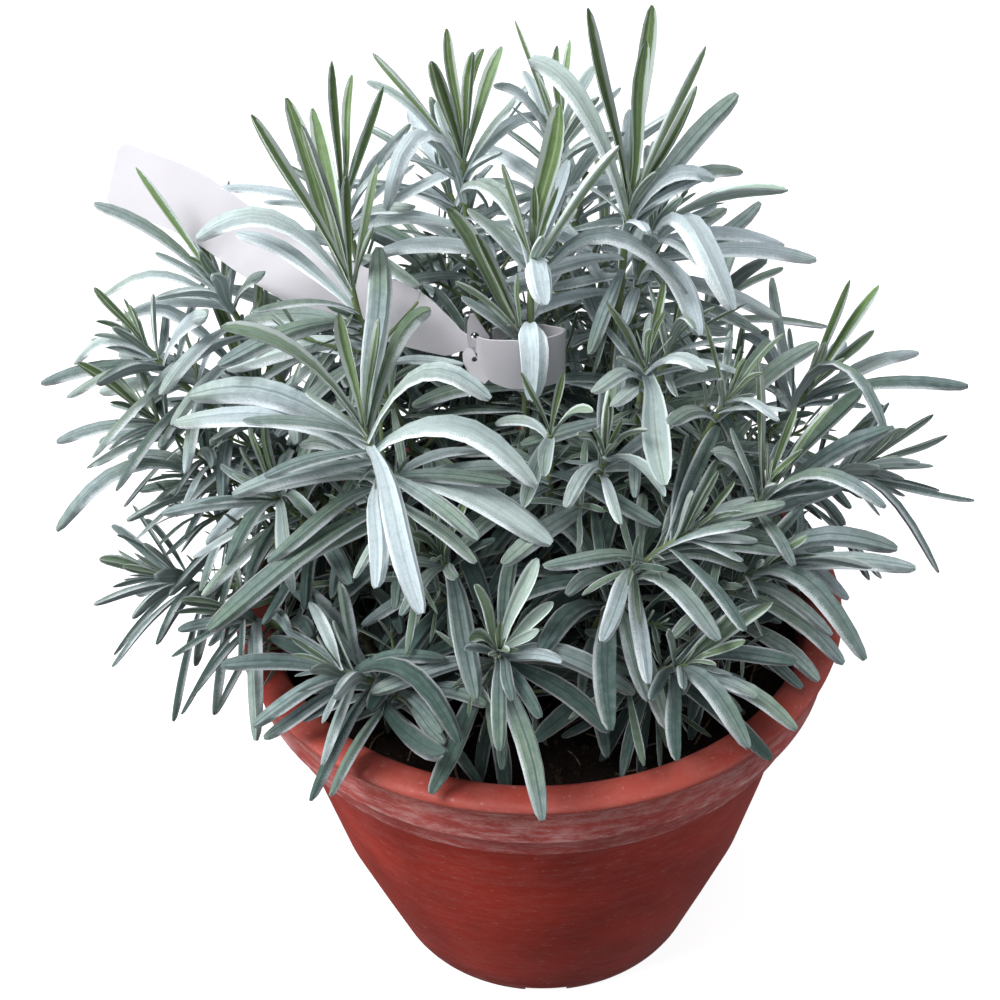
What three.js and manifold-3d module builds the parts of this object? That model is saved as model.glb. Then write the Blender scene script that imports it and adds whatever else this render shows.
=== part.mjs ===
// Potted lavender. Leafy shoots of a young silver-leaved plant stand in dark compost in a bell-shaped
// pot of terracotta-coloured plastic, and a long loop-lock plant label is closed round two of them.
// Millimetres, +Z up, -Y to the front, origin under the middle of the pot.

import * as THREE from 'three';
import { mergeVertices } from 'three/addons/utils/BufferGeometryUtils.js';
import Module from 'manifold-3d';

const wasm = await Module();
wasm.setup();

// Pot
const rimRadius = 125;
const potHeight = 171;
const bandFoot = 143;
const bodyTop = 131;
const footRadius = 67;
const potWall = 3;
const potSides = 32;
const drainChannels = 4;
const channelWidth = 18;
const channelHeight = 3;
const channelStart = 34;
const drainRadius = 5;

// Compost
const soilLevel = 152;
const soilRelief = 1.1;
const soilRings = [76, 40, 0];
const gap = 0.3;

// Stems
const rootDepth = 26;
const stemFootRadius = 1.9;
const stemTipRadius = 1.2;
const stemSpans = 4;
const stemRise = 0.35;
const leastRise = 34;
const stemArrival = 0.3;
const chainSteps = 200;

// Leaves
const leafLength = 56;
const longSlenderness = 0.068;
const shortSlenderness = 0.09;
const rankSlenderness = 0.075;
const shortLeaf = 30;
const widestHalf = 4.2;
const bladeThickness = 1.4;
const stalkPart = 0.3;
const bendAt = 0.45;

// Room between the leaves
const tries = 14;
const ballSpacing = 2.4;
const stemBallRadius = 2.1;
const spare = 0.15;
const crotch = 14;
const socket = 4;
const soilRoom = 2.2;
const rimRoom = 2.5;
const floorRoom = 6;

// Label
const labelWidth = 25;
const labelThickness = 0.8;
const neckHalf = 5;
const barbHalf = 13.5;
const bandHalf = 10.5;
const bandStart = 195;
const bandEnd = 490;
const bandStep = 29.5;
const loopCentre = new THREE.Vector3(-5, -25.9, 303);
const loopHalfWidth = 16;
const loopHalfDepth = 9.1;
const loopLean = new THREE.Vector3(0, -0.146, 1).normalize();

// The shoots that show from the front, each as [foot x, y], [crown x, y, z], [heading at the crown],
// and its large leaves as [distance below the crown, tip x, y, z, arch, breadth].
const frontShoots = [
  [[-45, -75], [-75, -85, 205], [-0.7, -0.2, 0.6], [
    [6, -120, -80, 205, 6, 1], [12, -110, -90, 190, 15, 1], [8, -80, -125, 195, 6, 1],
    [6, -30, -120, 200, 33, 0.9], [4, -35, -90, 215, 9, 1], [30, -20, -105, 205, 9, 1],
    [25, -90, -90, 185, 4, 0.9], [14, -35, -130, 205, -24, 1], [32, -35, -100, 190, 4, 1],
    [0, -85, -75, 230, 0, 1.6],
  ]],
  [[-20, -60], [-15, -100, 225], [0, -0.6, 0.8], [
    [2, -25, -110, 240, 9, 1.2], [4, -15, -135, 210, 9, 1], [10, 0, -150, 190, 12, 1],
    [4, 35, -95, 200, 15, 1], [12, 25, -110, 195, 8, 1.1], [2, 0, -95, 265, 4, 1.1],
    [1, 5, -95, 245, 0, 1], [0, -5, -100, 240, 0, 1], [8, -30, -55, 245, 6, 1.1],
    [6, -10, -125, 225, 8, 1],
  ]],
  [[15, -55], [55, -75, 260], [0.8, -0.1, 0.6], [
    [42, 10, -85, 240, 15, 1.1], [32, 20, -45, 225, 12, 1], [56, 0, -100, 225, 18, 1.1],
    [30, 90, -65, 230, 9, 1], [38, 65, -100, 230, 24, 1], [48, 60, -95, 190, 15, 1.2],
    [56, 25, -125, 210, 15, 1.1], [20, 75, -90, 275, 6, 1], [8, 90, -65, 265, 6, 1],
    [4, 80, -55, 260, 3, 0.9], [8, 60, -35, 275, 0, 1], [3, 65, -65, 280, 0, 0.9],
    [16, 55, -45, 255, 3, 1], [26, 40, -45, 255, 12, 1], [36, 40, -40, 250, 9, 1.3],
    [16, 90, -75, 250, 6, 0.9], [24, 80, -75, 245, 12, 1], [50, 15, -35, 255, 21, 1.1],
  ]],
  [[40, -60], [55, -90, 210], [0.6, -0.3, 0.6], [
    [6, 95, -90, 210, 9, 1], [12, 75, -125, 200, 21, 1], [10, 95, -105, 190, 12, 1],
    [26, 85, -100, 170, 6, 0.9], [8, 40, -110, 210, 4, 1], [30, 50, -105, 195, 9, 1.1],
    [0, 75, -95, 225, 0, 1], [2, 85, -85, 235, 0, 1.1], [34, 35, -105, 150, -6, 0.6],
    [4, 95, -80, 215, 6, 1],
  ]],
  [[60, -15], [85, -50, 260], [0.3, 0, 0.9], [
    [6, 70, -10, 270, 6, 1], [3, 80, -40, 310, 0, 1], [0, 95, -40, 290, 0, 1],
    [2, 105, -45, 295, 3, 0.9], [4, 120, -30, 290, 6, 1], [8, 130, -40, 280, 6, 1],
    [8, 125, -75, 270, 27, 1], [12, 65, -65, 285, 15, 1],
  ]],
  [[70, -40], [85, -65, 235], [0.8, -0.1, 0.5], [
    [4, 135, -55, 235, 21, 1], [8, 130, -65, 240, 12, 1], [3, 120, -85, 250, 6, 1],
    [12, 125, -95, 230, 36, 1], [2, 90, -70, 260, 3, 0.9], [16, 110, -75, 210, 12, 0.9],
  ]],
  [[70, 0], [130, 10, 225], [1, 0.1, 0.2], [
    [0, 160, 25, 240, 0, 1.1], [1, 165, 20, 235, 0, 0.9], [3, 165, 10, 230, 0, 0.9],
    [4, 145, -5, 230, 3, 0.8], [6, 170, 0, 225, 6, 0.7], [14, 160, -20, 195, 30, 1],
    [12, 135, -15, 220, 6, 0.7],
  ]],
  [[65, 15], [105, 5, 265], [0.6, 0.1, 0.7], [
    [0, 130, 10, 310, 0, 1.2], [1, 125, 10, 310, 0, 1], [2, 130, 10, 290, 0, 1],
    [4, 95, 50, 290, -15, 0.8], [5, 140, 10, 280, 18, 0.9], [7, 160, 5, 275, 18, 0.9],
    [10, 130, -35, 275, 45, 0.9], [8, 85, 45, 270, 18, 1],
  ]],
  [[-30, -35], [-60, -70, 305], [-0.1, -0.1, 0.9], [
    [0, -65, -75, 355, 0, 1.2], [0, -55, -70, 350, 0, 1], [4, -35, -65, 350, 24, 1],
    [8, -55, -15, 345, 0, 1.1], [6, -15, -90, 330, 36, 1], [12, 0, -85, 290, 33, 1.4],
    [30, 5, -80, 260, 18, 1.4], [3, -105, -75, 350, 21, 1.1], [8, -125, -40, 300, 18, 1.3],
    [16, -130, -50, 295, 18, 1.2], [8, -40, -130, 270, 9, 1.1], [42, -120, -95, 235, 9, 1.1],
    [50, -115, -85, 235, 9, 1], [22, -80, -70, 285, 4, 0.7], [26, -50, -80, 275, 4, 0.8],
  ]],
  [[-55, -25], [-110, 20, 260], [-0.2, 0, 0.9], [
    [0, -120, 25, 310, 0, 1.2], [1, -115, 40, 295, 0, 1], [6, -155, 35, 290, 27, 1],
    [14, -165, 35, 270, 12, 1.3], [10, -160, 20, 265, 15, 1.2], [3, -110, 40, 300, 0, 0.9],
    [32, -140, -5, 220, 21, 1.2],
  ]],
  [[-50, 5], [-120, 25, 305], [-0.3, 0.1, 0.9], [
    [0, -135, 35, 350, 0, 1], [0, -130, 25, 345, 0, 1.1], [2, -125, 50, 345, 0, 0.9],
    [8, -155, 40, 335, 15, 0.8], [12, -165, 20, 305, 24, 0.9], [5, -145, 35, 315, 3, 0.8],
  ]],
  [[-70, 10], [-150, 15, 285], [-0.5, 0, 0.8], [
    [0, -165, 10, 315, 0, 1], [0, -155, 15, 310, 0, 1], [2, -145, 35, 310, 0, 0.9],
    [6, -180, 20, 275, 18, 0.9], [6, -130, 35, 295, 6, 1.1],
  ]],
  [[-70, -15], [-150, 10, 255], [-0.6, 0, 0.7], [
    [0, -175, 5, 285, 0, 1.2], [1, -170, 25, 270, 0, 1], [12, -190, 10, 245, 12, 0.9],
    [6, -165, -10, 255, 6, 1], [3, -160, 40, 280, 3, 0.9],
  ]],
  [[-62, -45], [-135, 5, 230], [-0.6, -0.2, 0.6], [
    [4, -190, -15, 220, 33, 1], [4, -165, 20, 230, 9, 1.4], [28, -125, -40, 200, 12, 1.3],
    [8, -150, -10, 230, 9, 0.9],
  ]],
  [[-85, 0], [-150, -10, 190], [-0.8, 0, 0.4], [
    [0, -175, -15, 205, 0, 1.2], [1, -165, -20, 205, 0, 1], [8, -160, -40, 195, 6, 0.9],
    [6, -170, 0, 205, 6, 0.7], [18, -150, -50, 190, 15, 1], [10, -160, 10, 205, 6, 0.9],
  ]],
  [[-80, -40], [-120, -40, 195], [-0.6, -0.3, 0.5], [
    [10, -110, -85, 170, 27, 0.9], [5, -115, -70, 195, 9, 1], [2, -135, -60, 220, 3, 1],
    [12, -95, -65, 205, 12, 1],
  ]],
  [[-30, 0], [-65, -25, 335], [-0.1, 0, 1], [
    [1, -95, -20, 400, 0, 1.1], [0, -85, 0, 400, 0, 1], [1, -80, -15, 405, 0, 0.9],
    [0, -75, 5, 395, 0, 1.1], [4, -120, -15, 350, 36, 1.1], [10, -100, 0, 355, 21, 1],
    [0, -70, -25, 375, 0, 1.1], [1, -60, -25, 365, 3, 0.9], [3, -55, -15, 380, 3, 0.9],
  ]],
  [[-35, 30], [-70, 20, 345], [-0.1, 0.1, 1], [
    [0, -70, 20, 400, 0, 0.9], [1, -65, 40, 385, 0, 0.9], [1, -60, 20, 395, 0, 1],
    [8, -50, 50, 350, 12, 1], [3, -80, 35, 370, 0, 0.9],
  ]],
  [[-12, 16], [-25, 20, 360], [0, 0.1, 1], [
    [1, -55, 15, 405, 0, 1], [0, -40, 5, 405, 0, 1.1], [0, -30, 45, 400, 0, 0.9],
    [0, -20, 15, 405, 0, 1], [1, -10, 40, 395, 0, 1.2], [0, -25, 15, 395, 0, 0.9],
    [8, -60, 45, 380, 15, 0.6], [16, -60, -15, 365, 54, 1], [8, 5, 45, 365, 15, 1],
  ]],
  [[8, 20], [10, 35, 360], [0, 0.1, 1], [
    [1, -5, 40, 405, 0, 0.7], [0, 10, 40, 395, 0, 0.9], [0, 15, 55, 390, 0, 0.9],
    [6, -5, 45, 370, 12, 1], [3, 25, 75, 370, 3, 0.9],
  ]],
  [[28, 15], [35, -5, 355], [0.1, 0, 1], [
    [3, 20, 5, 425, -3, 1], [1, 35, 10, 415, 0, 1], [0, 40, 0, 415, 0, 0.9],
    [1, 50, 0, 410, 0, 1], [3, 60, -5, 415, 0, 1], [4, 75, 30, 380, 0, 1],
    [0, 55, -10, 400, 0, 1.1], [2, 35, -5, 410, 0, 1.5], [6, 0, 30, 395, 30, 1],
    [5, 5, 20, 395, 24, 1], [8, 10, -5, 395, 24, 1], [10, 60, 5, 365, 21, 1],
    [14, 75, 10, 360, 21, 1],
  ]],
  [[45, 35], [45, 5, 340], [0.3, 0.1, 0.9], [
    [2, 90, -15, 365, 9, 1.3], [6, 95, 25, 320, 6, 1.1], [12, 90, 30, 335, -21, 0.8],
    [14, 105, 5, 325, 6, 1], [10, 70, -45, 335, 42, 1.4], [24, 60, -30, 315, 30, 1.1],
    [30, 85, -5, 300, 6, 0.8], [8, 60, -25, 345, 12, 1],
  ]],
  [[8, -2], [0, -25, 345], [0.1, -0.1, 1], [
    [2, 10, -15, 400, 0, 1.4], [0, 5, -25, 385, 0, 0.9], [3, 20, -30, 385, 3, 1],
    [1, 15, -25, 370, 6, 1.1], [5, 45, -40, 365, 36, 1], [14, 55, -25, 330, 42, 1],
    [4, -35, 20, 355, 30, 1], [2, 5, -45, 340, 12, 1.4], [30, -5, -45, 300, 9, 1.5],
    [2, -10, -30, 385, 0, 1.1],
  ]],
  [[-10, -10], [-5, -25, 315], [-0.1, -0.1, 1], [
    [1, -20, -25, 355, 0, 1.3], [3, -30, -15, 360, 0, 1.2], [5, -45, -20, 345, 24, 1.1],
    [2, -20, -30, 350, 6, 1],
  ]],
  [[30, -12], [40, -35, 305], [0.1, -0.1, 1], [
    [2, 45, -80, 285, 6, 1.5], [4, 60, -60, 320, 12, 1], [1, 25, -55, 345, 0, 1.1],
    [1, 50, -25, 340, 0, 1], [6, 20, -65, 315, 9, 1],
  ]],
  [[2, -32], [5, -55, 290], [0, -0.3, 0.9], [
    [3, -5, -85, 280, 6, 1.3], [2, 5, -80, 285, 6, 1.2], [3, 20, -70, 310, 9, 1],
    [4, -15, -25, 275, 9, 1], [1, 10, -60, 320, 0, 1], [0, -5, -60, 320, 0, 1],
  ]],
  [[-45, -45], [-100, -35, 250], [-0.4, -0.4, 0.8], [
    [3, -90, -75, 235, 12, 1.1], [6, -115, -70, 245, 15, 1], [2, -80, -60, 255, 9, 1],
    [1, -105, -40, 285, 0, 1], [8, -130, -25, 220, 15, 1],
  ]],
  [[50, 12], [70, -40, 295], [0.4, 0.1, 0.8], [
    [1, 90, -30, 315, 0, 0.7], [4, 85, -70, 305, 9, 0.7], [2, 60, -45, 330, 0, 0.8],
    [1, 80, -55, 315, 0, 0.7], [0, 75, -30, 310, 0, 0.7],
  ]],
  [[38, 20], [50, -20, 305], [0.3, 0.2, 0.9], [
    [1, 70, -30, 330, 0, 0.7], [4, 65, -40, 320, 9, 0.7], [2, 45, 15, 310, 0, 0.8],
    [8, 70, -45, 310, 9, 0.8],
  ]],
  [[22, -35], [25, -55, 280], [0.2, -0.3, 0.9], [
    [3, 45, -80, 280, 12, 1.1], [1, 25, -65, 310, 0, 1], [4, 15, -70, 300, 9, 1],
    [2, 40, -70, 300, 3, 1], [8, 10, -85, 280, 12, 1],
  ]],
  [[-25, -45], [-35, -70, 245], [-0.1, -0.4, 0.8], [
    [4, -15, -105, 220, 15, 1.1], [6, -50, -95, 240, 9, 1], [2, -25, -70, 275, 3, 1],
    [3, -45, -80, 265, 6, 1],
  ]],
];

// Rows of shoots round the far side: crown height, distance out, number, first and last bearing.
const backRows = [
  [212, 118, 6, 12, 168],
  [275, 92, 4, 35, 155],
  [328, 55, 2, 70, 125],
];
const backRowCentre = 6;
const footSpread = 0.52;
const footSetBack = 8;
const leanOut = 0.7;
const leanUp = 0.75;

// Leaf pairs from the crown down: distance below it, size, angle off the stem and droop.
const ranks = [
  [0.5, 0.3, 8, 0],
  [2, 0.5, 14, 0],
  [4.5, 0.74, 22, 0.05],
  [8, 0.92, 34, 0.15],
  [13, 1, 47, 0.35],
  [19, 1, 60, 0.55],
  [27, 0.95, 72, 0.65],
];
const frontRanks = [0, 6];
const backRanks = [0, 2, 3, 4, 5, 6];

// Half breadth of a blade along its length, as parts of its widest place.
const bladeOutline = [[0, 0.32], [0.15, 0.38], [0.35, 0.68], [0.6, 1], [0.8, 0.93], [0.93, 0.62], [1, 0.15]];

const up = new THREE.Vector3(0, 0, 1);

// Solids

function toSolid(geometry) {
  const plain = geometry.clone();
  plain.deleteAttribute('normal');
  plain.deleteAttribute('uv');
  const merged = mergeVertices(plain, 1e-4);
  const mesh = new wasm.Mesh({
    numProp: 3,
    vertProperties: new Float32Array(merged.attributes.position.array),
    triVerts: new Uint32Array(merged.index.array),
  });
  return new wasm.Manifold(mesh);
}

function largestPiece(solid) {
  const pieces = solid.decompose();
  pieces.sort((a, b) => b.volume() - a.volume());
  return pieces[0];
}

function toMesh(name, solid, material) {
  const { vertProperties, triVerts } = largestPiece(solid.asOriginal().simplify(0.05)).getMesh();
  const geometry = new THREE.BufferGeometry();
  geometry.setAttribute('position', new THREE.BufferAttribute(new Float32Array(vertProperties), 3));
  geometry.setIndex(new THREE.BufferAttribute(new Uint32Array(triVerts), 1));
  geometry.computeVertexNormals();
  const mesh = new THREE.Mesh(geometry, material);
  mesh.name = name;
  return mesh;
}

function finish(color, roughness) {
  return new THREE.MeshStandardMaterial({ color, roughness, metalness: 0 });
}

// Closed skin through rings of equal count, ended by a flat face or drawn to a point.
function loft(rings, point) {
  const count = rings[0].length;
  const corners = rings.flat();
  const faces = [];
  for (let ring = 0; ring + 1 < rings.length; ring++) {
    for (let side = 0; side < count; side++) {
      const a = ring * count + side;
      const b = ring * count + (side + 1) % count;
      faces.push(a, b, b + count, a, b + count, a + count);
    }
  }
  for (let side = 1; side + 1 < count; side++) {
    faces.push(0, side + 1, side);
  }
  const last = (rings.length - 1) * count;
  if (point) {
    corners.push(point);
    for (let side = 0; side < count; side++) {
      faces.push(last + side, last + (side + 1) % count, corners.length - 1);
    }
  } else {
    for (let side = 1; side + 1 < count; side++) {
      faces.push(last, last + side, last + side + 1);
    }
  }
  const geometry = new THREE.BufferGeometry().setFromPoints(corners);
  geometry.setIndex(faces);
  return geometry;
}

function turned(outline, sides = potSides) {
  const points = outline.map(([radius, height]) => new THREE.Vector2(radius, height));
  const geometry = new THREE.LatheGeometry(points, sides);
  return geometry.rotateX(Math.PI / 2);
}

// Pot

// Inner face of the pot, from the floor up to the lip.
const innerFace = [
  [footRadius - 1, potWall + 0.5],
  [footRadius + 20, 61],
  [bodyTop - 28, 129],
  [rimRadius - 18, bandFoot + 3],
  [rimRadius - 16, potHeight - 2.5],
];

function radial(width, height, from, to, bearing) {
  const block = new THREE.BoxGeometry(to - from, width, height);
  block.translate((from + to) / 2, 0, height / 2);
  return block.rotateZ(bearing);
}

function channelBearings() {
  const bearings = [];
  for (let index = 0; index < drainChannels; index++) {
    bearings.push(-Math.PI / 2 + index * 2 * Math.PI / drainChannels);
  }
  return bearings;
}

function potSolid() {
  const outside = [
    [0, 0],
    [footRadius - 2, 0],
    [footRadius + 1.5, 2],
    [footRadius + 23, 60],
    [bodyTop - 25, 128],
    [rimRadius - 17.5, bodyTop + 1],
    [rimRadius - 13.5, bodyTop + 2],
    [rimRadius - 11, bandFoot],
    [rimRadius - 7.5, bandFoot + 1],
    [rimRadius - 1.2, potHeight - 11],
    [rimRadius, potHeight - 8],
    [rimRadius - 3, potHeight - 2.5],
    [rimRadius - 9, potHeight],
    [rimRadius - 14.5, potHeight - 0.8],
  ];
  const inside = [...innerFace].reverse();
  let pot = toSolid(turned([...outside, ...inside, [0, potWall + 0.5]]));
  for (const bearing of channelBearings()) {
    const width = channelWidth + 2 * potWall;
    const height = channelHeight + potWall;
    pot = pot.add(toSolid(radial(width, height, channelStart - potWall, footRadius, bearing)));
  }
  for (const bearing of channelBearings()) {
    const channel = radial(channelWidth, channelHeight, channelStart, footRadius + 10, bearing);
    const drain = new THREE.CylinderGeometry(drainRadius, drainRadius, 20, 8);
    drain.rotateX(Math.PI / 2);
    drain.translate(Math.cos(bearing) * (footRadius - 17), Math.sin(bearing) * (footRadius - 17), 0);
    pot = pot.subtract(toSolid(channel.translate(0, 0, -0.001))).subtract(toSolid(drain));
  }
  return pot;
}

// Compost

function soilHeight(x, y) {
  const broad = Math.sin(x / 17 + 1.3) * Math.cos(y / 14 - 0.4);
  const fine = Math.sin(x / 6.1 - y / 7.7);
  return soilLevel + soilRelief * (0.7 * broad + 0.3 * fine);
}

function soilSolid(feet) {
  const side = innerFace.slice(0, 4).map(([radius, height]) => [radius - gap, height + gap]);
  const top = [rimRadius - 17.5 - gap, ...soilRings].map((radius) => [radius, soilLevel]);
  const body = turned([[0, potWall + 0.5 + gap], ...side, ...top]);
  const position = body.attributes.position;
  for (let index = 0; index < position.count; index++) {
    if (position.getZ(index) > soilLevel - 0.01) {
      position.setZ(index, soilHeight(position.getX(index), position.getY(index)));
    }
  }
  let soil = toSolid(body);
  for (const bearing of channelBearings()) {
    const width = channelWidth + 2 * (potWall + gap);
    const height = channelHeight + potWall + gap;
    const from = channelStart - potWall - gap;
    soil = soil.subtract(toSolid(radial(width, height, from, footRadius + 5, bearing)));
  }
  const holes = feet.map((foot) => toSolid(loft(footRings(foot, gap * 1.7, rootDepth + gap, 6))));
  return soil.subtract(wasm.Manifold.union(holes));
}

// Stems

function unit(vector) {
  return vector.clone().normalize();
}

// Draws between two values, the same ones each time for a seed.
function makeRandom(seed) {
  let state = (seed * 2654435761) % 4294967296;
  const draw = (low = 0, high = 1) => {
    state = (state * 1664525 + 1013904223) % 4294967296;
    return low + (high - low) * state / 4294967296;
  };
  for (let skipped = 0; skipped < 3; skipped++) {
    draw();
  }
  return draw;
}

function stemCurve(foot, crown, heading) {
  const start = new THREE.Vector3(foot[0], foot[1], soilLevel + 2);
  const end = new THREE.Vector3(...crown);
  const span = start.distanceTo(end);
  const rising = start.clone().addScaledVector(up, Math.max(stemRise * span, leastRise));
  const arriving = end.clone().addScaledVector(unit(new THREE.Vector3(...heading)), -stemArrival * span);
  return new THREE.CubicBezierCurve3(start, rising, arriving, end);
}

function backRowShoots() {
  const shoots = [];
  backRows.forEach(([height, out, count, first, last], row) => {
    for (let index = 0; index < count; index++) {
      const draw = makeRandom(900 + row * 20 + index);
      const radius = out * draw(0.92, 1.08);
      const z = height + draw(-10, 10);
      const bearing = (first + (last - first) * index / (count - 1)) * Math.PI / 180 + draw(-0.08, 0.08);
      const x = radius * Math.cos(bearing);
      const y = backRowCentre + radius * Math.sin(bearing);
      const heading = [leanOut * Math.cos(bearing), leanOut * Math.sin(bearing), leanUp];
      shoots.push([[footSpread * x, footSpread * y + footSetBack], [x, y, z], heading, []]);
    }
  });
  return shoots;
}

// Places along a stem counted back from its crown, on a fine chain of points.
function measured(curve) {
  const points = curve.getPoints(chainSteps);
  const fromCrown = new Array(chainSteps + 1).fill(0);
  for (let index = chainSteps - 1; index >= 0; index--) {
    fromCrown[index] = fromCrown[index + 1] + points[index].distanceTo(points[index + 1]);
  }
  return { curve, fromCrown, length: fromCrown[0] };
}

function placeBack(stem, distance) {
  let index = chainSteps - 1;
  while (index > 0 && stem.fromCrown[index] < distance) {
    index--;
  }
  const span = stem.fromCrown[index] - stem.fromCrown[index + 1];
  const part = Math.min(1, Math.max(0, (stem.fromCrown[index] - distance) / span));
  const t = (index + part) / chainSteps;
  return { root: stem.curve.getPoint(t), along: stem.curve.getTangent(t) };
}

function squareRing(centre, along, radius) {
  const across = new THREE.Vector3().crossVectors(along, new THREE.Vector3(0.3, 1, 0.2)).normalize();
  const other = new THREE.Vector3().crossVectors(along, across);
  const ring = [];
  for (let corner = 0; corner < 4; corner++) {
    const turn = corner * Math.PI / 2;
    const point = centre.clone();
    point.addScaledVector(across, radius * Math.cos(turn)).addScaledVector(other, radius * Math.sin(turn));
    ring.push(point);
  }
  return ring;
}

function footRings(foot, clearance, depth, above) {
  const low = new THREE.Vector3(foot[0], foot[1], soilLevel - depth);
  const high = new THREE.Vector3(foot[0], foot[1], soilLevel + above);
  return [low, high].map((centre) => squareRing(centre, up, stemFootRadius + clearance));
}

function stemSolid(foot, stem) {
  const rings = [footRings(foot, 0, rootDepth, 2)[0]];
  for (let index = 0; index <= stemSpans; index++) {
    const t = index / stemSpans;
    const radius = THREE.MathUtils.lerp(stemFootRadius, stemTipRadius, t);
    rings.push(squareRing(stem.curve.getPoint(t), stem.curve.getTangent(t), radius));
  }
  return toSolid(loft(rings));
}

// Leaves

function outlineAt(s) {
  for (let index = 1; index < bladeOutline.length; index++) {
    const [to, high] = bladeOutline[index];
    const [from, low] = bladeOutline[index - 1];
    if (s <= to) {
      return low + (high - low) * (s - from) / (to - from);
    }
  }
  return bladeOutline[bladeOutline.length - 1][1];
}

// A blade's middle line, its crosswise direction at the root and its half breadth.
function largeLeaf(stem, [distance, x, y, z, arch, breadth], attempt, draw) {
  const { root, along } = placeBack(stem, distance);
  const tip = new THREE.Vector3(x, y, z);
  let lift = arch;
  if (attempt > 0) {
    const shift = 2 + 1.2 * attempt;
    tip.add(new THREE.Vector3(draw(-1, 1), draw(-1, 1), draw(-1, 1)).multiplyScalar(shift));
    lift += 1.5 * attempt * draw(-1, 1);
  }
  const middle = root.clone().lerp(tip, bendAt).addScaledVector(up, lift);
  const outward = tip.clone().sub(root);
  outward.addScaledVector(along, -outward.dot(along)).normalize();
  const length = root.distanceTo(middle) + middle.distanceTo(tip);
  const shortHalf = shortSlenderness * length;
  const longHalf = Math.min(longSlenderness * length, widestHalf);
  const half = breadth * (length < shortLeaf ? shortHalf : longHalf);
  const side = new THREE.Vector3().crossVectors(outward, along).normalize();
  return { line: new THREE.QuadraticBezierCurve3(root, middle, tip), side, half, length };
}

function rankLeaf(stem, rank, partner, turn, attempt, draw) {
  const [distance, size, lean, droop] = ranks[rank];
  const { root, along } = placeBack(stem, distance);
  const across = new THREE.Vector3().crossVectors(along, new THREE.Vector3(0.3, 1, 0.2)).normalize();
  const other = new THREE.Vector3().crossVectors(along, across);
  const wander = 1 + 0.35 * attempt;
  const bearing = (turn + 90 * rank + 180 * partner) * Math.PI / 180 + draw(-0.25, 0.25) * wander;
  const length = leafLength * size * draw(0.88, 1.1) * (1 - 0.03 * attempt);
  const angle = (lean + draw(-8, 8) * (rank > 1 ? wander : 0)) * Math.PI / 180;
  const outward = across.multiplyScalar(Math.cos(bearing)).addScaledVector(other, Math.sin(bearing));
  const first = along.clone().multiplyScalar(Math.cos(angle)).addScaledVector(outward, Math.sin(angle));
  const middle = root.clone().addScaledVector(first, bendAt * length);
  const second = first.addScaledVector(outward, 0.3).addScaledVector(up, -droop * draw(0.5, 1.3));
  second.addScaledVector(new THREE.Vector3().crossVectors(outward, along), draw(-0.25, 0.25)).normalize();
  const tip = middle.clone().addScaledVector(second, (1 - bendAt) * length);
  const side = new THREE.Vector3().crossVectors(outward, along).normalize();
  const half = rankSlenderness * length * draw(0.9, 1.12);
  return { line: new THREE.QuadraticBezierCurve3(root, middle, tip), side, half, length };
}

function bladeFrame(leaf, s) {
  const along = leaf.line.getTangent(s);
  const across = leaf.side.clone().addScaledVector(along, -leaf.side.dot(along)).normalize();
  const over = new THREE.Vector3().crossVectors(across, along).normalize();
  return { centre: leaf.line.getPoint(s), across, over };
}

function bladeSolid(leaf) {
  const stations = leaf.length > 40 ? [0.38, 0.74] : [0.6];
  const rings = stations.map((s) => {
    const { centre, across, over } = bladeFrame(leaf, s);
    const half = leaf.half * outlineAt(s);
    return [
      centre.clone().addScaledVector(across, half),
      centre.clone().addScaledVector(across, -half),
      centre.clone().addScaledVector(over, -bladeThickness),
    ];
  });
  const { centre } = bladeFrame(leaf, stations[0]);
  const shift = leaf.line.v0.clone().addScaledVector(centre, -stalkPart);
  const stalk = rings[0].map((corner) => corner.clone().multiplyScalar(stalkPart).add(shift));
  const blade = loft([stalk, ...rings], leaf.line.getPoint(1));
  const solid = toSolid(blade);
  return solid.volume() > 0 ? solid : toSolid(flipped(blade));
}

function flipped(geometry) {
  const faces = geometry.index.array;
  for (let index = 0; index < faces.length; index += 3) {
    [faces[index + 1], faces[index + 2]] = [faces[index + 2], faces[index + 1]];
  }
  return geometry;
}

// Keeping clear: every stem, blade and the label is held as small balls, each with its owner.

const balls = [];

function keep(list, owner) {
  for (const ball of list) {
    balls.push({ ...ball, owner });
  }
}

function leafBalls(leaf) {
  const rows = Math.max(4, Math.ceil(leaf.length / ballSpacing));
  const list = [];
  for (let row = 0; row < rows; row++) {
    const s = (row + 0.5) / rows;
    const { centre, across } = bladeFrame(leaf, s);
    const half = leaf.half * outlineAt(s);
    const radius = Math.hypot(0.2 * half, ballSpacing / 2, bladeThickness / 2);
    for (let column = -2; column <= 2; column++) {
      const point = centre.clone().addScaledVector(across, 0.4 * column * half);
      list.push({ point, radius, reach: s * leaf.length });
    }
  }
  return list.filter((ball) => ball.reach > socket);
}

function clearOfPot({ point }) {
  const out = Math.hypot(point.x, point.y);
  if (out < rimRadius - 18) {
    return point.z > soilLevel + soilRoom;
  }
  return out < rimRadius + rimRoom ? point.z > potHeight + soilRoom : point.z > floorRoom;
}

function isFree(list, owner) {
  if (!list.every(clearOfPot)) {
    return false;
  }
  const box = new THREE.Box3().setFromPoints(list.map((ball) => ball.point)).expandByScalar(5);
  for (const other of balls) {
    if (!box.containsPoint(other.point)) {
      continue;
    }
    for (const ball of list) {
      const own = other.owner === owner && (other.reach < crotch || ball.reach < crotch);
      if (!own && ball.point.distanceTo(other.point) < ball.radius + other.radius + spare) {
        return false;
      }
    }
  }
  return true;
}

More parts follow.
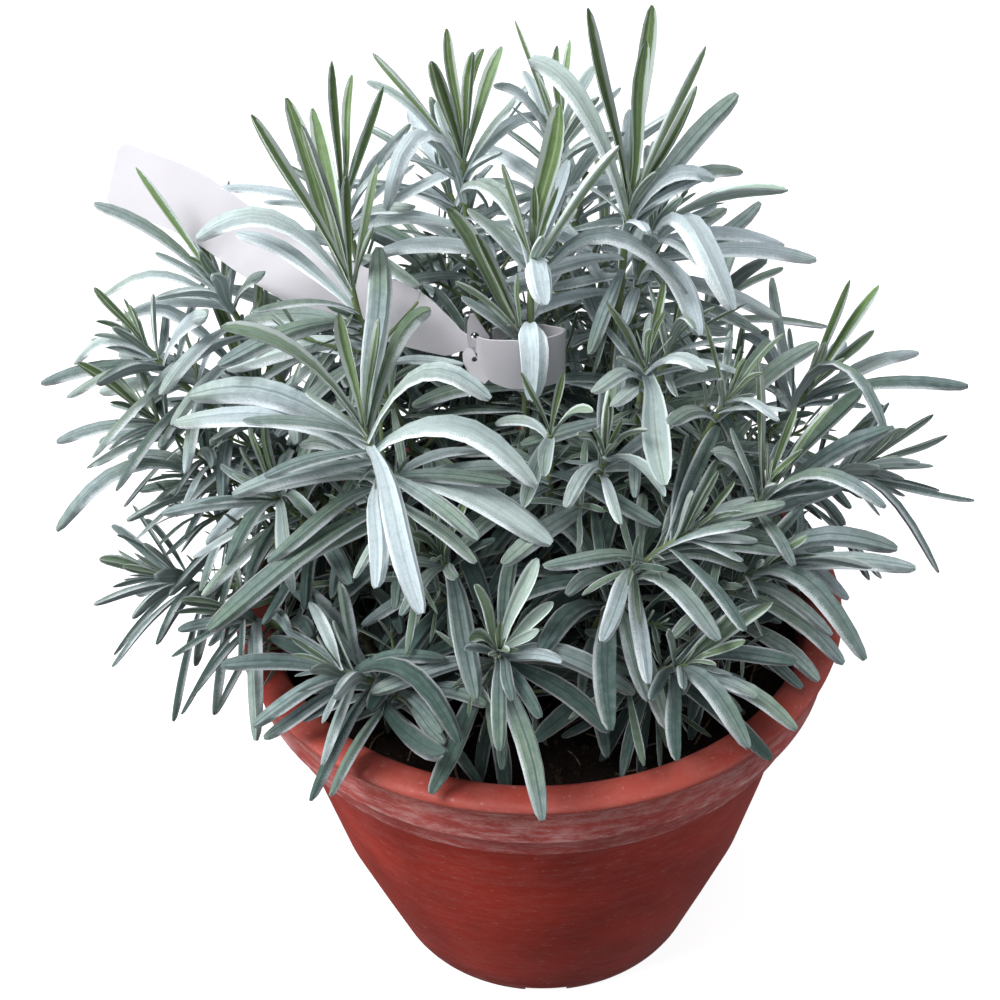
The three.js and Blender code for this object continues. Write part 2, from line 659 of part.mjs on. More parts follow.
function settle(make, seed, owner) {
  for (let attempt = 0; attempt < tries; attempt++) {
    const leaf = make(attempt, makeRandom(seed + attempt));
    const list = leafBalls(leaf);
    if (isFree(list, owner)) {
      keep(list, owner);
      return leaf;
    }
  }
  return null;
}

function stemBalls(foot, stem) {
  const list = [];
  for (let depth = rootDepth; depth > 0; depth -= 2) {
    const point = new THREE.Vector3(foot[0], foot[1], soilLevel - depth);
    list.push({ point, radius: stemBallRadius, reach: 0 });
  }
  for (const point of stem.curve.getPoints(Math.floor(stem.length / 2))) {
    list.push({ point, radius: stemBallRadius, reach: 0 });
  }
  return list;
}

function growLeaves(shoots, stems) {
  const leaves = shoots.map(() => []);
  shoots.forEach(([, , , large], owner) => {
    large.forEach((entry, index) => {
      const make = (attempt, draw) => largeLeaf(stems[owner], entry, attempt, draw);
      leaves[owner].push(settle(make, owner * 1000 + index * 20, owner));
    });
  });
  shoots.forEach(([, , , large], owner) => {
    const turn = makeRandom(owner * 7 + 3)(0, 90);
    let index = large.length;
    for (const rank of large.length > 0 ? frontRanks : backRanks) {
      for (const partner of [0, 1]) {
        const make = (attempt, draw) => rankLeaf(stems[owner], rank, partner, turn, attempt, draw);
        leaves[owner].push(settle(make, owner * 1000 + index * 20, owner));
        index++;
      }
    }
  });
  return leaves.map((list) => list.filter((leaf) => leaf !== null));
}

// Label

// Stations of the strip as [centre, crosswise direction, half breadth]. The back of its loop leans
// on the stem that stands behind the crossing, about a third of a millimetre from it.
function labelStations() {
  const tilt = new THREE.Vector3(0.25, 0.55, 0.8).normalize();
  const half = labelWidth / 2;
  const stations = [
    [new THREE.Vector3(-160, 50, 341), tilt, half],
    [new THREE.Vector3(-130, 40, 333), tilt, half],
    [new THREE.Vector3(-107, 28, 322), tilt, half],
    [new THREE.Vector3(-84, 15, 314), tilt, half],
    [new THREE.Vector3(-65, 6, 310), tilt, half],
    [new THREE.Vector3(-43, -6, 307), new THREE.Vector3(0.1, 0.35, 0.9).normalize(), 0.92 * half],
    [new THREE.Vector3(-33, -12, 305), new THREE.Vector3(0, 0.2, 1).normalize(), 0.7 * half],
    [new THREE.Vector3(-27, -16, 304), up, neckHalf],
    [new THREE.Vector3(-23.5, -19, 303.5), up, neckHalf],
    [new THREE.Vector3(-22.5, -20, 303.5), up, barbHalf],
    [new THREE.Vector3(-20.5, -22.5, 303), up, bandHalf - 1.5],
  ];
  for (let turn = bandStart; turn <= bandEnd; turn += bandStep) {
    const angle = turn * Math.PI / 180;
    const point = new THREE.Vector3(loopHalfWidth * Math.cos(angle), loopHalfDepth * Math.sin(angle), 0);
    stations.push([point.add(loopCentre), loopLean, bandHalf]);
  }
  return stations;
}

function labelSolid(stations) {
  const rings = stations.map(([centre, across, half], index) => {
    const before = stations[Math.max(0, index - 1)][0];
    const after = stations[Math.min(stations.length - 1, index + 1)][0];
    const along = after.clone().sub(before).normalize();
    const over = new THREE.Vector3().crossVectors(along, across).setLength(labelThickness / 2);
    const edge = across.clone().multiplyScalar(half);
    return [
      centre.clone().add(edge).add(over),
      centre.clone().add(edge).sub(over),
      centre.clone().sub(edge).sub(over),
      centre.clone().sub(edge).add(over),
    ];
  });
  const strip = toSolid(loft(rings));
  return strip.volume() > 0 ? strip : toSolid(flipped(loft(rings)));
}

function labelBalls(stations) {
  const list = [];
  for (let index = 0; index + 1 < stations.length; index++) {
    const [from, acrossFrom, halfFrom] = stations[index];
    const [to, acrossTo, halfTo] = stations[index + 1];
    const rows = Math.ceil(from.distanceTo(to) / 2.5);
    for (let row = 0; row < rows; row++) {
      const part = (row + 0.5) / rows;
      const across = acrossFrom.clone().lerp(acrossTo, part);
      const half = THREE.MathUtils.lerp(halfFrom, halfTo, part);
      for (let column = -3; column <= 3; column++) {
        const point = from.clone().lerp(to, part).addScaledVector(across, half * column * 0.3);
        list.push({ point, radius: 2.4, reach: 99 });
      }
    }
  }
  return list;
}

// Everything together

const terracottaPlastic = finish(0xa8523f, 0.55);
const darkCompost = finish(0x2a211b, 0.95);
const whiteLabel = finish(0xf1eff0, 0.45);
const silverLeaf = finish(0x8fa39c, 0.85);

const shoots = [...frontShoots, ...backRowShoots()];
const stems = shoots.map(([foot, crown, heading]) => measured(stemCurve(foot, crown, heading)));
const stations = labelStations();
keep(labelBalls(stations), -1);
shoots.forEach(([foot], owner) => keep(stemBalls(foot, stems[owner]), owner));
const leaves = growLeaves(shoots, stems);

const plant = new THREE.Group();
plant.add(toMesh('pot', potSolid(), terracottaPlastic));
plant.add(toMesh('compost', soilSolid(shoots.map(([foot]) => foot)), darkCompost));
plant.add(toMesh('plant_label', labelSolid(stations), whiteLabel));
shoots.forEach(([foot], owner) => {
  const name = `leafy_stem_${String(owner + 1).padStart(2, '0')}`;
  const pieces = [stemSolid(foot, stems[owner]), ...leaves[owner].map(bladeSolid)];
  plant.add(toMesh(name, wasm.Manifold.union(pieces), silverLeaf));
});

export default plant;
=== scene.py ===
# Potted lavender: a young silver-leaved plant in a bell pot of terracotta-coloured plastic, with a bare
# loop-lock label. Sizes are millimetres. +Z is up, the front is -Y, the origin is under the pot.

import math

import bpy
import numpy as np
from mathutils import Matrix, Vector


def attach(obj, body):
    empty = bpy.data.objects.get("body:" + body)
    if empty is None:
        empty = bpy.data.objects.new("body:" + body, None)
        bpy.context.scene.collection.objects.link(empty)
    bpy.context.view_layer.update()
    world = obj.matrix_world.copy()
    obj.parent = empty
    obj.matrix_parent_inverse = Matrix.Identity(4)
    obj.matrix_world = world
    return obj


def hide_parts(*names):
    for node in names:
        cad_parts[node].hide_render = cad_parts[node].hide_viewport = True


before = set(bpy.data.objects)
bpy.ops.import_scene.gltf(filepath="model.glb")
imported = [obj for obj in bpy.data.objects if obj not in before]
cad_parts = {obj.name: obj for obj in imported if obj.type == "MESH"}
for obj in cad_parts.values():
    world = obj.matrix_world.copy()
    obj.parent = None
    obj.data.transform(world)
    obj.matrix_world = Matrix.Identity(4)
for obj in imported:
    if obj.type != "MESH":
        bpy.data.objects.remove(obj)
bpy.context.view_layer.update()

mm = 0.001

# Small helpers


def linearColour(hexText):
    parts = [int(hexText[start:start + 2], 16) / 255 for start in (1, 3, 5)]
    return (*[part / 12.92 if part <= 0.04045 else ((part + 0.055) / 1.055) ** 2.4 for part in parts], 1)


def addNode(tree, kind, sources=None, **settings):
    node = tree.nodes.new(kind)
    for name, value in settings.items():
        setattr(node, name, value)
    for socket, source in (sources or {}).items():
        if isinstance(source, bpy.types.NodeSocket):
            tree.links.new(source, node.inputs[socket])
        else:
            node.inputs[socket].default_value = source
    return node


def startMaterial(name, **constants):
    material = bpy.data.materials.new(name)
    material.use_nodes = True
    tree = material.node_tree
    shader = tree.nodes["Principled BSDF"]
    for socket, value in constants.items():
        shader.inputs[socket.replace("_", " ")].default_value = value
    return material, tree, shader


def setColour(tree, shader, colour):
    tree.links.new(colour, shader.inputs["Base Color"])


def worked(tree, operation, *values, clamp=False):
    node = addNode(tree, "ShaderNodeMath", dict(enumerate(values)), operation=operation, use_clamp=clamp)
    return node.outputs[0]


def ranged(tree, value, low, high, first=0.0, last=1.0, kind="LINEAR"):
    sources = dict(enumerate((value, low, high, first, last)))
    return addNode(tree, "ShaderNodeMapRange", sources, interpolation_type=kind).outputs[0]


def mixed(tree, part, *colours):
    first, second = [linearColour(colour) if isinstance(colour, str) else colour for colour in colours]
    return addNode(tree, "ShaderNodeMix", {0: part, 6: first, 7: second}, data_type="RGBA").outputs[2]


def ramped(tree, value, stops):
    ramp = addNode(tree, "ShaderNodeValToRGB", {0: value})
    elements = ramp.color_ramp.elements
    elements[0].color = stops[0][1]
    elements[1].color = stops[-1][1]
    for position, colour in stops[1:-1]:
        elements.new(position).color = colour
    return ramp.outputs[0]


def objectPlace(tree):
    return addNode(tree, "ShaderNodeTexCoord").outputs["Object"]


def stretched(tree, place, scale, turn=(0, 0, 0)):
    return addNode(tree, "ShaderNodeMapping", {"Vector": place, "Rotation": turn, "Scale": scale}).outputs[0]


def noise(tree, place, scale, detail, roughness=0.5):
    sources = {"Vector": place, "Scale": scale, "Detail": detail, "Roughness": roughness}
    return addNode(tree, "ShaderNodeTexNoise", sources).outputs[0]


def addRelief(tree, shader, height, strength, depth):
    bump = addNode(tree, "ShaderNodeBump", {"Height": height, "Strength": strength, "Distance": depth * mm})
    tree.links.new(bump.outputs[0], shader.inputs["Normal"])


def setMaterials(piece, *materials):
    piece.data.materials.clear()
    for material in materials:
        piece.data.materials.append(material)


def deselectAll():
    if bpy.context.object and bpy.context.object.mode != "OBJECT":
        bpy.ops.object.mode_set(mode="OBJECT")
    bpy.ops.object.select_all(action="DESELECT")


def selectOnly(*pieces):
    deselectAll()
    for piece in pieces:
        piece.select_set(True)
    bpy.context.view_layer.objects.active = pieces[0]


def addPiece(primitive, **settings):
    deselectAll()
    primitive(**settings)
    return bpy.context.object


def startEditing(piece):
    selectOnly(piece)
    bpy.ops.object.mode_set(mode="EDIT")
    bpy.ops.mesh.select_all(action="SELECT")


def copyMaster(master):
    copy = master.copy()
    copy.data = master.data.copy()
    bpy.context.scene.collection.objects.link(copy)
    return copy


def joinPieces(pieces, name):
    selectOnly(*pieces)
    if len(pieces) > 1:
        bpy.ops.object.join()
    pieces[0].name = name
    return pieces[0]


def applyModifier(piece, kind, **settings):
    selectOnly(piece)
    modifier = piece.modifiers.new(kind.lower(), kind)
    for name, value in settings.items():
        setattr(modifier, name, value)
    bpy.ops.object.modifier_apply(modifier=modifier.name)


def finishEditing():
    bpy.ops.mesh.select_all(action="SELECT")
    bpy.ops.mesh.normals_make_consistent(inside=False)
    bpy.ops.object.mode_set(mode="OBJECT")


def readPoints(mesh):
    points = np.empty(len(mesh.vertices) * 3)
    mesh.vertices.foreach_get("co", points)
    return points.reshape(-1, 3)


def writePoints(mesh, points):
    mesh.vertices.foreach_set("co", np.asarray(points, float).ravel())
    mesh.update()


def placeInFrame(piece):
    selectOnly(piece)
    bpy.ops.object.transform_apply(location=True, rotation=True, scale=True)


def smoothShade(piece, angle):
    selectOnly(piece)
    bpy.ops.object.shade_smooth_by_angle(angle=math.radians(angle))


# Camera, light and floor

view = {
    "target": (0, 0, 170),
    "distance": 900,
    "elevation": 39.5,
    "roll": -1,
    "lens": 78.2,
    "sensor": 36,
    "shiftX": -0.039,
    "shiftY": 0.095,
}

studio = {
    "world": "#F2F6FC",
    "fromAbove": 0.8,
    "fromBelow": 0.16,
    "floor": "#A8A8A8",
    "floorGlow": 0.84,
    # Soft round lights: place, size and power
    "lights": {
        "key_light": ((-1350, -1050, 2900), 1500, 102),
        "fill_light": ((-2150, -600, 420), 1200, 38),
        "side_light": ((1900, -700, 380), 1000, 10),
    },
}


def addCamera():
    elevation = math.radians(view["elevation"])
    back = Vector((0, -math.cos(elevation), math.sin(elevation)))
    place = (Vector(view["target"]) + view["distance"] * back) * mm
    bpy.ops.object.camera_add(location=place)
    camera = bpy.context.object
    camera.name = "camera"
    tilt = Matrix.Rotation(math.pi / 2 - elevation, 4, "X")
    roll = Matrix.Rotation(math.radians(view["roll"]), 4, "Z")
    camera.matrix_world = Matrix.Translation(place) @ tilt @ roll
    camera.data.sensor_width = view["sensor"]
    camera.data.lens = view["lens"]
    camera.data.shift_x = view["shiftX"]
    camera.data.shift_y = view["shiftY"]
    camera.data.clip_start = 0.01
    bpy.context.scene.camera = camera


def addSoftLight(name, place, size, power):
    place = Vector(place) * mm
    bpy.ops.object.light_add(type="AREA", location=place)
    light = bpy.context.object
    light.name = name
    light.data.shape = "DISK"
    light.data.size = size * mm
    light.data.energy = power
    aim = Vector(view["target"]) * mm - place
    light.rotation_euler = aim.to_track_quat("-Z", "Y").to_euler()


def addStudio():
    world = bpy.data.worlds.new("pale studio")
    world.use_nodes = True
    tree = world.node_tree
    background = tree.nodes["Background"]
    background.inputs["Color"].default_value = linearColour(studio["world"])
    # Brightest overhead and dim from below, as under a cloudy sky
    direction = addNode(tree, "ShaderNodeTexCoord").outputs["Generated"]
    height = addNode(tree, "ShaderNodeSeparateXYZ", {0: direction}).outputs["Z"]
    glow = ranged(tree, height, -0.4, 1, studio["fromBelow"], studio["fromAbove"])
    tree.links.new(glow, background.inputs["Strength"])
    bpy.context.scene.world = world
    for name, (place, size, power) in studio["lights"].items():
        addSoftLight(name, place, size, power)
    floor = addPiece(bpy.ops.mesh.primitive_plane_add, size=12, location=(0, 0, -0.3 * mm))
    floor.name = "floor"
    material, _, _ = startMaterial(
        "backlit white paper", Base_Color=linearColour(studio["floor"]), Roughness=0.9,
        Emission_Color=(1, 1, 1, 1), Emission_Strength=studio["floorGlow"])
    floor.data.materials.append(material)
    floor.visible_diffuse = False  # so that the white floor doesn't light the leaves from below
    floor.visible_glossy = False


deselectAll()
addCamera()
addStudio()
bpy.context.scene.view_settings.view_transform = "Standard"
print("camera, light and floor are set")

# Pot: injection-moulded polypropylene, which gives a soft satin shine and fine sink marks, gone chalky
# where the lip and band have been rubbed

pot = {
    "rimRadius": 125,
    "height": 171,
    "bandFoot": 143,
    "footRadius": 67,
    "turnSteps": 160,
    "channels": 4,
    "channelWidth": 18,
    "channelHeight": 3,
    "channelStart": 34,
    "drainRadius": 5,
    "lipColour": "#9C453B",
    "bandColour": "#A63F38",
    "bodyColour": "#9B2D20",
    "deepColour": "#701F16",
    "chalkColour": "#D0ACA9",
    "grain": 0.7,
    "streak": 4,
    "speck": 1.3,
    # Colours by parts of the height, darker at the foot. The band is painted lighter than the body, as
    # painted light where the lip shades it
    "coat": [(0, "deepColour"), (0.1, "bodyColour"), (0.76, "bodyColour"), (0.8, "bandColour"),
             (0.9, "bandColour"), (0.94, "lipColour"), (1, "lipColour")],
    # How much is rubbed chalky, by parts of the height: the foot, the two ledges of the band and the lip
    "wear": [(0, 0.75), (0.03, 0.12), (0.3, 0.05), (0.74, 0.1), (0.772, 0.3), (0.782, 0.9), (0.8, 0.42),
             (0.845, 0.3), (0.862, 1), (0.872, 0.7), (0.92, 0.5), (0.955, 0.5), (0.968, 0.16), (1, 0.08)],
}


def potOutline():
    rim = pot["rimRadius"]
    top = pot["height"]
    foot = pot["footRadius"]
    band = pot["bandFoot"]
    outside = [
        (0, 0.6), (foot - 12, 0.6), (foot - 7, 0), (foot - 1.5, 0), (foot + 0.6, 0.5), (foot + 1.6, 2.4),
        (foot + 12, 30), (foot + 23, 60), (foot + 32, 95), (rim - 19.4, 126), (rim - 17.8, 131),
        (rim - 16.8, 132.4), (rim - 12.8, 132.8), (rim - 12.2, 133.4), (rim - 12, 134.2),
        (rim - 9.8, band + 1.4), (rim - 8.8, band + 2.4), (rim - 6.6, band + 2.8), (rim - 5.8, band + 3.4),
        (rim - 5.6, band + 4.4), (rim - 4.2, top - 9), (rim - 3.8, top - 6.6),
    ]
    lip = [
        (rim - 2.6, top - 6), (rim - 1.2, top - 5.2), (rim - 0.3, top - 4.2), (rim, top - 3),
        (rim - 0.4, top - 1.9), (rim - 1.6, top - 0.9), (rim - 3.6, top - 0.2), (rim - 6, top),
        (rim - 9, top - 0.1), (rim - 11.6, top - 0.6), (rim - 13.4, top - 1.6), (rim - 14.4, top - 3),
    ]
    inside = [
        (rim - 15.6, top - 6), (rim - 17.6, top - 20), (rim - 21, 131),
        (foot + 20, 61), (foot - 0.6, 5), (foot - 3, 3.5), (0, 3.5),
    ]
    return outside + lip + inside


def spinOutline(name, outline, steps):
    piece = addPiece(
        bpy.ops.mesh.primitive_circle_add, vertices=len(outline), radius=0.1, fill_type="NOTHING")
    piece.name = name
    writePoints(piece.data, [(radius * mm, 0, height * mm) for radius, height in outline])
    bpy.ops.object.mode_set(mode="EDIT")
    bpy.ops.mesh.select_all(action="DESELECT")
    bpy.ops.object.mode_set(mode="OBJECT")
    last = len(outline) - 1
    for edge in piece.data.edges:
        edge.select = set(edge.vertices) == {0, last}
    bpy.ops.object.mode_set(mode="EDIT")
    bpy.ops.mesh.delete(type="EDGE_FACE")
    bpy.ops.mesh.select_all(action="SELECT")
    bpy.ops.mesh.spin(steps=steps, angle=2 * math.pi, center=(0, 0, 0), axis=(0, 0, 1))
    bpy.ops.mesh.select_all(action="SELECT")
    bpy.ops.mesh.remove_doubles(threshold=1e-5)
    finishEditing()
    return piece


def cutAway(piece, cutter):
    applyModifier(piece, "BOOLEAN", object=cutter, operation="DIFFERENCE", solver="EXACT")
    bpy.data.objects.remove(cutter)


def cutDrains(piece):
    length = pot["footRadius"] + 10 - pot["channelStart"]
    middle = pot["channelStart"] + length / 2
    drainAt = pot["footRadius"] - 17
    for index in range(pot["channels"]):
        bearing = -math.pi / 2 + index * 2 * math.pi / pot["channels"]
        ray = Vector((math.cos(bearing), math.sin(bearing), 0))
        channel = addPiece(
            bpy.ops.mesh.primitive_cube_add, size=1, location=ray * middle * mm, rotation=(0, 0, bearing))
        channel.scale = (length * mm, pot["channelWidth"] * mm, 2 * pot["channelHeight"] * mm)
        drain = addPiece(
            bpy.ops.mesh.primitive_cylinder_add, vertices=24, radius=pot["drainRadius"] * mm, depth=30 * mm,
            location=ray * drainAt * mm)
        for cutter in (channel, drain):
            placeInFrame(cutter)
            cutAway(piece, cutter)


def plasticMaterial():
    material, tree, shader = startMaterial("moulded polypropylene", IOR=1.49, Specular_IOR_Level=0.15)
    place = objectPlace(tree)
    height = addNode(tree, "ShaderNodeSeparateXYZ", {0: place}).outputs["Z"]
    zones = ranged(tree, height, 0, pot["height"] * mm)
    coat = ramped(tree, zones, [(position, linearColour(pot[colour])) for position, colour in pot["coat"]])
    cloud = ranged(tree, noise(tree, place, 26, 5), 0.38, 0.66, 0, 0.6)
    clouded = mixed(tree, cloud, coat, pot["deepColour"])
    # Rubbed streaks run round the pot: they are long one way and thin the other
    layers = stretched(tree, place, (1, 1, pot["streak"]))
    rubbed = ranged(tree, noise(tree, layers, 75, 10, 0.82), 0.45, 0.66, 0.08, 1)
    wear = ramped(tree, zones, [(position, (part, part, part, 1)) for position, part in pot["wear"]])
    amount = worked(tree, "MULTIPLY", rubbed, wear)
    chalky = mixed(tree, amount, clouded, pot["chalkColour"])
    # Short pale scuffs and grains of dust all over, broken up so that no two are alike
    slanted = stretched(tree, place, (0.35, 0.35, 1), (0.5, 0.3, 0.2))
    scuffs = noise(tree, slanted, 1 / (pot["speck"] * mm), 6, 0.75)
    scuffed = ranged(tree, scuffs, 0.6, 0.74, 0, 0.5)
    setColour(tree, shader, mixed(tree, scuffed, chalky, pot["chalkColour"]))
    tree.links.new(ranged(tree, amount, 0, 0.6, 0.44, 0.8), shader.inputs["Roughness"])
    grain = noise(tree, place, 1 / (pot["grain"] * mm), 3)
    relief = worked(tree, "MULTIPLY_ADD", noise(tree, layers, 35, 2), 4, grain)
    addRelief(tree, shader, relief, 0.3, 0.14)
    return material


def makePot():
    piece = spinOutline("bell_pot", potOutline(), pot["turnSteps"])
    cutDrains(piece)
    smoothShade(piece, 40)
    setMaterials(piece, plasticMaterial())
    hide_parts("pot")
    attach(piece, "root")


makePot()
print("pot is made")

# Compost: dark peat with bark crumbs and a few pale fibres, which lies loose and swallows the light

compost = {
    "level": 152,
    "relief": 1.1,
    "edgeRadius": 106.6,
    "ringStep": 2.4,
    "turnSteps": 150,
    "lumpHeight": 1.5,
    "lumpEdge": 6,
    "clearEdge": 3,
    "darkColour": "#0F0B09",
    "brownColour": "#251B15",
    "barkColour": "#3E2E22",
    "fibreColour": "#8E7B62",
    "grain": 1.3,
}

# What lies loose on it: material, its two colours, number, sizes, how far its middle stands out and seed
looseKinds = [
    ("peat crumbs", "darkColour", "barkColour", 900, (0.8, 2.3), 0.25, 51),
    ("bark crumbs", "brownColour", "barkColour", 130, (3, 9), 0.12, 52),
    ("pale fibres", "barkColour", "fibreColour", 70, (8, 18), 0.06, 53),
]


def soilHeight(x, y):
    broad = np.sin(x / 17 + 1.3) * np.cos(y / 14 - 0.4)
    fine = np.sin(x / 6.1 - y / 7.7)
    return compost["level"] + compost["relief"] * (0.7 * broad + 0.3 * fine)


def lumpNoise(x, y):
    total = np.zeros_like(x)
    for index, width in enumerate((5.3, 3.1, 1.9)):
        turn = 0.7 + 1.9 * index
        along = x * math.cos(turn) + y * math.sin(turn)
        over = y * math.cos(turn) - x * math.sin(turn)
        bent = along / width + 1.7 * np.sin(over / (width * 1.7))
        total += np.sin(bent) * np.sin(over / width + index) / 3
    return total


def soilMaterial(name, first, second):
    material, tree, shader = startMaterial(name, Roughness=0.96, Specular_IOR_Level=0.15)
    grain = noise(tree, objectPlace(tree), 1 / (compost["grain"] * mm), 5, 0.7)
    setColour(tree, shader, mixed(tree, ranged(tree, grain, 0.4, 0.66), compost[first], compost[second]))
    addRelief(tree, shader, grain, 0.8, 0.8)
    return material


def makeCompost():
    edge = compost["edgeRadius"]
    level = compost["level"]
    foot = pot["footRadius"]
    outline = [(0, 7), (foot - 1, 7), (foot + 19.5, 61.3), (edge - 3, 129), (edge, 146)]
    rings = int(edge / compost["ringStep"])
    outline += [(edge * (1 - index / rings), level) for index in range(rings + 1)]
    piece = spinOutline("compost_fill", outline, compost["turnSteps"])
    points = readPoints(piece.data) / mm
    top = points[:, 2] > level - 0.01
    x = points[top, 0]
    y = points[top, 1]
    inner = np.clip((edge - np.hypot(x, y)) / compost["lumpEdge"], 0, 1)
    points[top, 2] = soilHeight(x, y) + compost["lumpHeight"] * inner * (0.25 + lumpNoise(x, y))
    writePoints(piece.data, points * mm)
    selectOnly(piece)
    bpy.ops.object.shade_smooth()
    setMaterials(piece, soilMaterial("damp peat", "darkColour", "brownColour"))
    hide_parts("compost")
    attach(piece, "root")


def crumbMasters():
    masters = []
    for index in range(4):
        master = addPiece(
            bpy.ops.mesh.primitive_ico_sphere_add, subdivisions=1 if index < 2 else 2, radius=1)
        points = readPoints(master.data)
        draw = np.random.default_rng(40 + index)
        points *= draw.uniform(0.7, 1.25, (len(points), 1))
        writePoints(master.data, points * (1, 0.8, 0.6))
        masters.append(master)
    return masters


def barkMaster():
    master = addPiece(bpy.ops.mesh.primitive_cube_add, size=1)
    master.scale = (1, 0.32, 0.16)
    placeInFrame(master)
    applyModifier(master, "BEVEL", width=0.05, segments=1)
    return master


def fibreMaster():
    master = addPiece(
        bpy.ops.mesh.primitive_cylinder_add, vertices=5, radius=0.03, depth=1, rotation=(0, math.pi / 2, 0))
    placeInFrame(master)
    for bendPlace in (-0.17, 0.2):
        startEditing(master)
        bpy.ops.mesh.bisect(plane_co=(bendPlace, 0, 0), plane_no=(1, 0, 0))
    bpy.ops.object.mode_set(mode="OBJECT")
    points = readPoints(master.data)
    points[:, 1] += 0.25 * points[:, 0] ** 2
    points[:, 2] += 0.3 * (0.25 - points[:, 0] ** 2)
    writePoints(master.data, points)
    return master


def scatterOnSoil(masters, count, sizes, sink, material, seed):
    draw = np.random.default_rng(seed)
    copies = []
    for index in range(count):
        master = masters[index % len(masters)]
        reach = (compost["edgeRadius"] - compost["clearEdge"]) * math.sqrt(draw.uniform(0, 1))
        bearing = draw.uniform(0, 2 * math.pi)
        x = reach * math.cos(bearing)
        y = reach * math.sin(bearing)
        size = draw.uniform(*sizes)
        height = float(soilHeight(np.float64(x), np.float64(y))) + sink * size
        copy = copyMaster(master)
        turn = Matrix.Rotation(draw.uniform(0, 2 * math.pi), 4, "Z") @ Matrix.Rotation(
            draw.uniform(-0.5, 0.5), 4, "X") @ Matrix.Rotation(draw.uniform(-0.4, 0.4), 4, "Y")
        place = Matrix.Translation(Vector((x, y, height)) * mm)
        copy.data.transform(place @ turn @ Matrix.Scale(size * mm, 4))
        copy.matrix_world = Matrix.Identity(4)
        setMaterials(copy, material)
        copies.append(copy)
    return copies


def makeCrumbs():
    copies = []
    masters = crumbMasters(), [barkMaster()], [fibreMaster()]
    for kind, (name, first, second, count, sizes, sink, seed) in zip(masters, looseKinds):
        copies += scatterOnSoil(kind, count, sizes, sink, soilMaterial(name, first, second), seed)
        for master in kind:
            bpy.data.objects.remove(master)
    piece = joinPieces(copies, "compost_crumbs")
    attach(piece, "root")


makeCompost()
makeCrumbs()
print("compost is made")

# Label: a strip of matt white polypropylene film, thin enough to curl, which shades to a cool grey

label = {
    "thickness": 0.5,
    "lengthSteps": 150,
    "widthSteps": 8,
    "cornerRadius": 2.5,
    "loopCentre": (-5, -25.9, 307),
    "loopHalfWidth": 16,
    "loopHalfDepth": 9.1,
    "loopLean": (0, -0.146, 1),
    "bandStart": 195,
    "bandEnd": 490,
    "bandStep": 29.5,
    "bandHalf": 10.5,
    "bandTurns": [195, 224.5, 254, 300, 350, 400, 490],
    "bandAbove": [9, 10.2, 11.4, 11.7, 10.5, 7, 6],
    "bandBelow": [2, 9.8, 11.8, 11.7, 11.7, 11.7, 11.7],
    "neckPlace": (-23.8, -20.6, 305.5),
    "filmColour": "#C7C5CC",
    "warmColour": "#BDB9BC",
}

# The strip from its free end to the loop, as [centre, crosswise direction, half, half above, half below]
labelTail = [
    [(-160, 50, 341), (0.25, 0.55, 0.8), 12.5, 12.5, 12.5],
    [(-130, 40, 333), (0.25, 0.55, 0.8), 12.5, 12.5, 12.5],
    [(-107, 28, 322), (0.25, 0.55, 0.8), 12.5, 12.5, 12.5],
    [(-84, 15, 314), (0.25, 0.55, 0.8), 12.5, 12.5, 12.5],
    [(-65, 6, 310), (0.25, 0.55, 0.8), 12.5, 12.2, 12.2],
    [(-43, -6, 308), (0.1, 0.35, 0.9), 11.5, 11, 10.8],
    [(-33, -12, 307), (0, 0.2, 1), 8.75, 7.4, 9.6],
    [(-27, -16, 306), (0, 0, 1), 5, 3.8, 5],
    [(-23.5, -19, 305.5), (0, 0, 1), 5, 3.4, 3.2],
    [(-22.5, -20, 305.5), (0, 0, 1), 13.5, 2.8, 2.6],
    [(-20.5, -22.5, 306), (0, 0, 1), 9, 4.6, 2.4],
]

# The two barbs that lock the strip, as outlines across and up from the neck, each with its hole
labelBarbs = [
    {"outline": [(-0.6, 0.6), (-0.9, 6), (-0.6, 11), (0.6, 15.5), (2.2, 15.6), (4.4, 11), (7.4, 5),
                 (6.6, 2.9), (4, 2.2), (1.6, 0.4)],
     "hole": (2, 5.7, 1.6), "forward": 1.6},
    {"outline": [(-1, 0), (-2.8, -1.9), (-2.6, -5), (-1.2, -8), (2, -10.6), (5.1, -12.6), (7.6, -10.1),
                 (5.6, -7.4), (3.7, -5.1), (1, -0.6)],
     "hole": (1.6, -4, 1), "forward": 6},
]


def unit(vector):
    return vector / np.linalg.norm(vector)


def labelStations():
    stations = [[np.array(centre, float), unit(np.array(across, float)), half, above, below]
                for centre, across, half, above, below in labelTail]
    lean = unit(np.array(label["loopLean"], float))
    turn = label["bandStart"]
    while turn <= label["bandEnd"]:
        angle = math.radians(turn)
        out = (label["loopHalfWidth"] * math.cos(angle), label["loopHalfDepth"] * math.sin(angle), 0)
        widths = [np.interp(turn, label["bandTurns"], label[name]) for name in ("bandAbove", "bandBelow")]
        stations.append([np.array(label["loopCentre"]) + out, lean, label["bandHalf"], *widths])
        turn += label["bandStep"]
    return stations


def smoothThrough(values, place):
    # Curve through evenly numbered points, with each stretch's slope taken from its neighbours
    last = len(values) - 1
    index = np.clip(place.astype(int), 0, last - 1)
    part = place - index
    before = values[np.maximum(index - 1, 0)]
    here = values[index]
    there = values[index + 1]
    after = values[np.minimum(index + 2, last)]
    if values.ndim > 1:
        part = part[:, None]
    return 0.5 * (2 * here + (there - before) * part
                  + (2 * before - 5 * here + 4 * there - after) * part ** 2
                  + (3 * here - before - 3 * there + after) * part ** 3)


